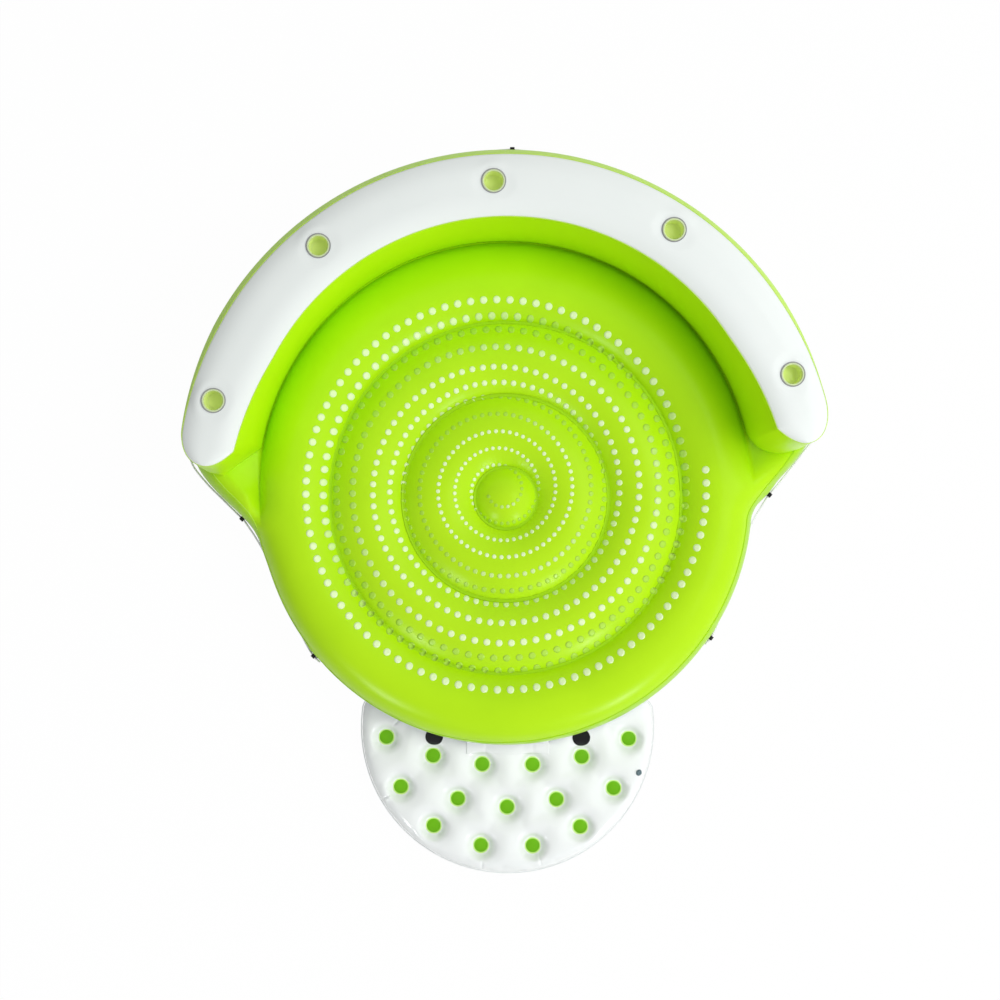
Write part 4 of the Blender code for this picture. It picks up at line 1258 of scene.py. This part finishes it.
def makeValve(name, bore, baseBody):
    matrix = valveFrames[name]
    neck, flange, stem = 1.33 * bore, 1.9 * bore, 1.14 * bore
    rim = 0.0012 + 0.04 * bore
    top = rim + 0.3 * bore
    thick = 0.002 + 0.06 * bore
    profile = [(bore, -0.009), (bore, top - 0.0005), (bore + 0.0006, top), (neck - 0.0006, top),
               (neck, top - 0.0005), (neck, rim + 0.0008), (neck + 0.0008, rim), (0.80 * flange, rim),
               (0.83 * flange, rim + 0.0006), (0.88 * flange, rim + 0.0006), (0.91 * flange, rim),
               (0.97 * flange, 0.8 * rim), (flange, 0.0003), (stem, 0.0002), (stem, -0.009)]
    bm = bmesh.new()
    lathe(bm, profile, 72, matrix, ring=True)
    pieceFrom(name + "Base", bm, "valveTeal", [name + "_base"], baseBody)
    plug = 0.94 * bore
    profile = [(0.0, thick - 0.0006), (0.45 * neck, thick - 0.0006), (0.50 * neck, thick),
               (0.88 * neck, thick), (neck - 0.0002, thick - 0.0005), (neck, thick - 0.001), (neck, 0.0006),
               (neck - 0.0003, 0.0003), (plug, 0.0003), (plug - 0.0003, -0.003), (0.0, -0.003)]
    lid = matrix @ Matrix.Translation((0.0, 0.0, top))
    bm = bmesh.new()
    lathe(bm, profile, 96)
    for vert in bm.verts:
        if vert.co.xy.length > 0.985 * neck:
            step = round(96 * math.atan2(vert.co.y, vert.co.x) / math.tau)
            vert.co.xy *= 1.0 - 0.02 * (step % 4 // 2)
    bmesh.ops.transform(bm, matrix=lid, verts=bm.verts[:])
    length = 0.3 * bore + 0.004
    addBlock(bm, (0.5 * bore, length, 0.8 * thick), (0.0, neck + 0.0035 - 0.5 * length, 0.5 * thick), lid,
             0.0004)
    addBlock(bm, (0.4 * bore, 0.004, 0.5 * thick), (0.0, -neck - 0.0008, 0.5 * thick), lid, 0.0004)
    addBlock(bm, (0.7 * neck, 0.12 * neck, 0.0012), (0.0, 0.0, thick - 0.0003), lid, 0.0003)
    pieceFrom(name + "Cap", bm, "valveTeal", [name + "_cap"], name + "_cap")


makeValve("hull_valve", 0.018, "root")
makeValve("backrest_valve", 0.018, "root")
makeValve("pad_valve", 0.0074, "boarding_pad")
print("valves ready")


# Grab rope and its guides

rope = {"radius": 0.004, "clear": 0.0065, "holeZ": 0.011, "sag": 0.08, "points": 7, "half": 0.009,
        "tail": 0.029, "relax": 3, "settle": 4, "step": 0.006}
arch = {"foot": 0.006, "middle": 0.0105, "radius": 0.0085, "wide": 0.009, "thick": 0.0024}


def makeGuide(number, matrix):
    profile = [(0.0, 0.0024), (0.012, 0.0024), (0.0215, 0.0024), (0.0222, 0.0017), (0.0235, 0.0017),
               (0.0242, 0.0022), (0.0262, 0.0018), (0.027, 0.0008), (0.027, -0.0004), (0.0, -0.0004)]
    bm = bmesh.new()
    lathe(bm, profile, 60, matrix)
    reach = arch["radius"]
    path = [(-reach, 0.0), (-reach, arch["foot"])]
    for k in range(13):
        turn = math.pi * k / 12
        path.append((-reach * math.cos(turn), arch["middle"] + reach * math.sin(turn)))
    path += [(reach, arch["foot"]), (reach, 0.0)]
    count = len(path) - 1

    def place(u, v):
        k = round(u * count)
        before, after = path[max(k - 1, 0)], path[min(k + 1, count)]
        across = unit(after[1] - before[1], before[0] - after[0])
        corner = math.radians(45.0 + 360.0 * v)
        wide = arch["wide"] * max(min(1.5 * math.cos(corner), 1.0), -1.0)
        thick = arch["thick"] * max(min(1.5 * math.sin(corner), 1.0), -1.0)
        return matrix @ Vector((wide, path[k][0] + thick * across[0], path[k][1] + thick * across[1]))

    loop = shapedGrid(count, 12, place)
    bmesh.ops.holes_fill(loop, edges=[edge for edge in loop.edges if edge.is_boundary])
    bmesh.ops.recalc_face_normals(loop, faces=loop.faces[:])
    joined(bm, loop)
    pieceFrom("ropeGuide_%d" % number, bm, "guideBlack", ["rope_guide_%d" % number])


def azimuthOf(point):
    return (math.degrees(math.atan2(point.y, point.x)) + 90.0) % 360.0 - 90.0


# Push that brings a point of the rope clear of the raft's outer side, met from outside. A ray
# that slips through the slit at the equator weld meets nothing, and its point stays.
def pushOut(tree, point):
    azimuth = azimuthOf(point)
    hit, normal = tree.ray_cast(polar(2.2, azimuth, point.z), -polar(1.0, azimuth))[:2]
    if hit is None:
        return Vector((0.0, 0.0, 0.0))
    return max(rope["clear"] - (point - hit).dot(normal), 0.0) * normal


def ropeSpan(tree, first, second):
    ends = (azimuthOf(first), azimuthOf(second))
    line = [first]
    for k in range(1, rope["points"] + 1):
        t = k / (rope["points"] + 1)
        azimuth = mix(*ends, t)
        z = mix(first.z, second.z, t) - rope["sag"] * 4.0 * t * (1.0 - t)
        hit, normal = tree.ray_cast(polar(2.2, azimuth, z), -polar(1.0, azimuth))[:2]
        line.append(hit + rope["clear"] * normal)
    line.append(second)
    for _ in range(rope["relax"]):
        for k in range(1, rope["points"] + 1):
            between = 0.5 * (line[k - 1] + line[k + 1])
            between.z = line[k].z
            line[k] = line[k].lerp(between, 0.5)
            for test in (line[k], line[k - 1].lerp(line[k], 0.5), line[k].lerp(line[k + 1], 0.5)):
                line[k] += pushOut(tree, test)
    return line


# Even points on a smooth curve through the given ones
def smoothLine(points, step):
    padded = [points[0]] + points + [points[-1]]
    line = []
    for a, b, c, d in zip(padded, padded[1:], padded[2:], padded[3:]):
        count = max(round((c - b).length / step), 1)
        for k in range(count):
            t = k / count
            line.append(0.5 * (2.0 * b + (c - a) * t + (2.0 * a - 5.0 * b + 4.0 * c - d) * t ** 2
                               + (3.0 * b - a - 3.0 * c + d) * t ** 3))
    line.append(points[-1])
    return line


def tube(points, radius, sides, leaning, closed=False):
    count = len(points) - 1
    spans = [0.0]
    for a, b in zip(points, points[1:]):
        spans.append(spans[-1] + (b - a).length)

    def place(u, v):
        k = round(u * count)
        before = points[k - 1] if k else (points[-2] if closed else points[0])
        after = points[k + 1] if k < count else (points[1] if closed else points[-1])
        along = (after - before).normalized()
        side = along.cross(leaning).normalized()
        turn = math.tau * v
        return points[k] + radius * (math.cos(turn) * side + math.sin(turn) * along.cross(side))

    bm = shapedGrid(count, sides, place, "along")
    layer = bm.loops.layers.uv["along"]
    for face in bm.faces:
        for corner in face.loops:
            corner[layer].uv.x = spans[round(corner[layer].uv.x * count)]
    if not closed:
        bmesh.ops.holes_fill(bm, edges=[edge for edge in bm.edges if edge.is_boundary])
    bmesh.ops.recalc_face_normals(bm, faces=bm.faces[:])
    return bm


def makeRope():
    tree = treeOf(deck, band, bottom, wall)
    low = Vector((-rope["half"], 0.0, rope["holeZ"]))
    high = Vector((rope["half"], 0.0, rope["holeZ"]))
    tail = Vector((rope["tail"], 0.0, 0.0))
    points = [guideFrames[0] @ (low - tail)]
    for first, second in zip(guideFrames, guideFrames[1:]):
        points += ropeSpan(tree, first @ high, second @ low)
    points.append(guideFrames[-1] @ (high + tail))
    line = smoothLine(points, rope["step"])
    for _ in range(rope["settle"]):
        pushes = [pushOut(tree, point) for point in line]
        last = len(line) - 1
        line = [point + 0.25 * (pushes[max(k - 1, 0)] + 2.0 * pushes[k] + pushes[min(k + 1, last)])
                for k, point in enumerate(line)]
    buried = sum(pushOut(tree, point).length > rope["clear"] - rope["radius"] for point in line)
    print("rope points inside the sheets", buried, "of", len(line))
    bm = tube(line, rope["radius"], 10, up)
    pieceFrom("grabRope", bm, "ropeBraid", ["grab_rope"])
    print("grab rope length", round(sum((b - a).length for a, b in zip(line, line[1:])), 2))


# Overhand knot: a trefoil of the same cord round the rope's end
def makeKnot(name, node, matrix, side):
    spot = matrix @ Vector((side * 0.0146, 0.0, rope["holeZ"]))
    loops = []
    for k in range(97):
        turn = math.tau * k / 96
        x = -0.0019 * math.sin(3.0 * turn)
        y = 0.0019 * (math.sin(turn) + 2.0 * math.sin(2.0 * turn))
        z = 0.0019 * (math.cos(turn) - 2.0 * math.cos(2.0 * turn))
        loops.append(spot + matrix.to_3x3() @ Vector((x, y, z)))
    axis = matrix.to_3x3() @ Vector((1.0, 0.0, 0.0))
    bm = tube(loops, 0.0029, 8, axis, True)
    pieceFrom(name, bm, "ropeBraid", [node])


for number, matrix in enumerate(guideFrames, 1):
    makeGuide(number, matrix)
makeRope()
makeKnot("ropeKnotRight", "rope_knot_right", guideFrames[0], -1.0)
makeKnot("ropeKnotLeft", "rope_knot_left", guideFrames[-1], 1.0)
print("rope ready")

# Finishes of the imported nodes, so that a node no piece stands in for is coloured too

for node in frame["nodes"].values():
    node.data.materials.clear()
slotFinish = {"lime_vinyl": "limeVinyl", "white_vinyl": "whiteVinyl", "weld_lime": "weldLime",
              "grey_vinyl": "knurlGrey", "well_vinyl": "cupOlive", "black_vinyl": "guideBlack",
              "valve_teal": "valveTeal", "rope_white": "ropeBraid"}
for part in frame["record"]["subparts"]:
    frame["nodes"][part["node"]].data.materials.append(finishes[slotFinish[part["material_slot"]]])
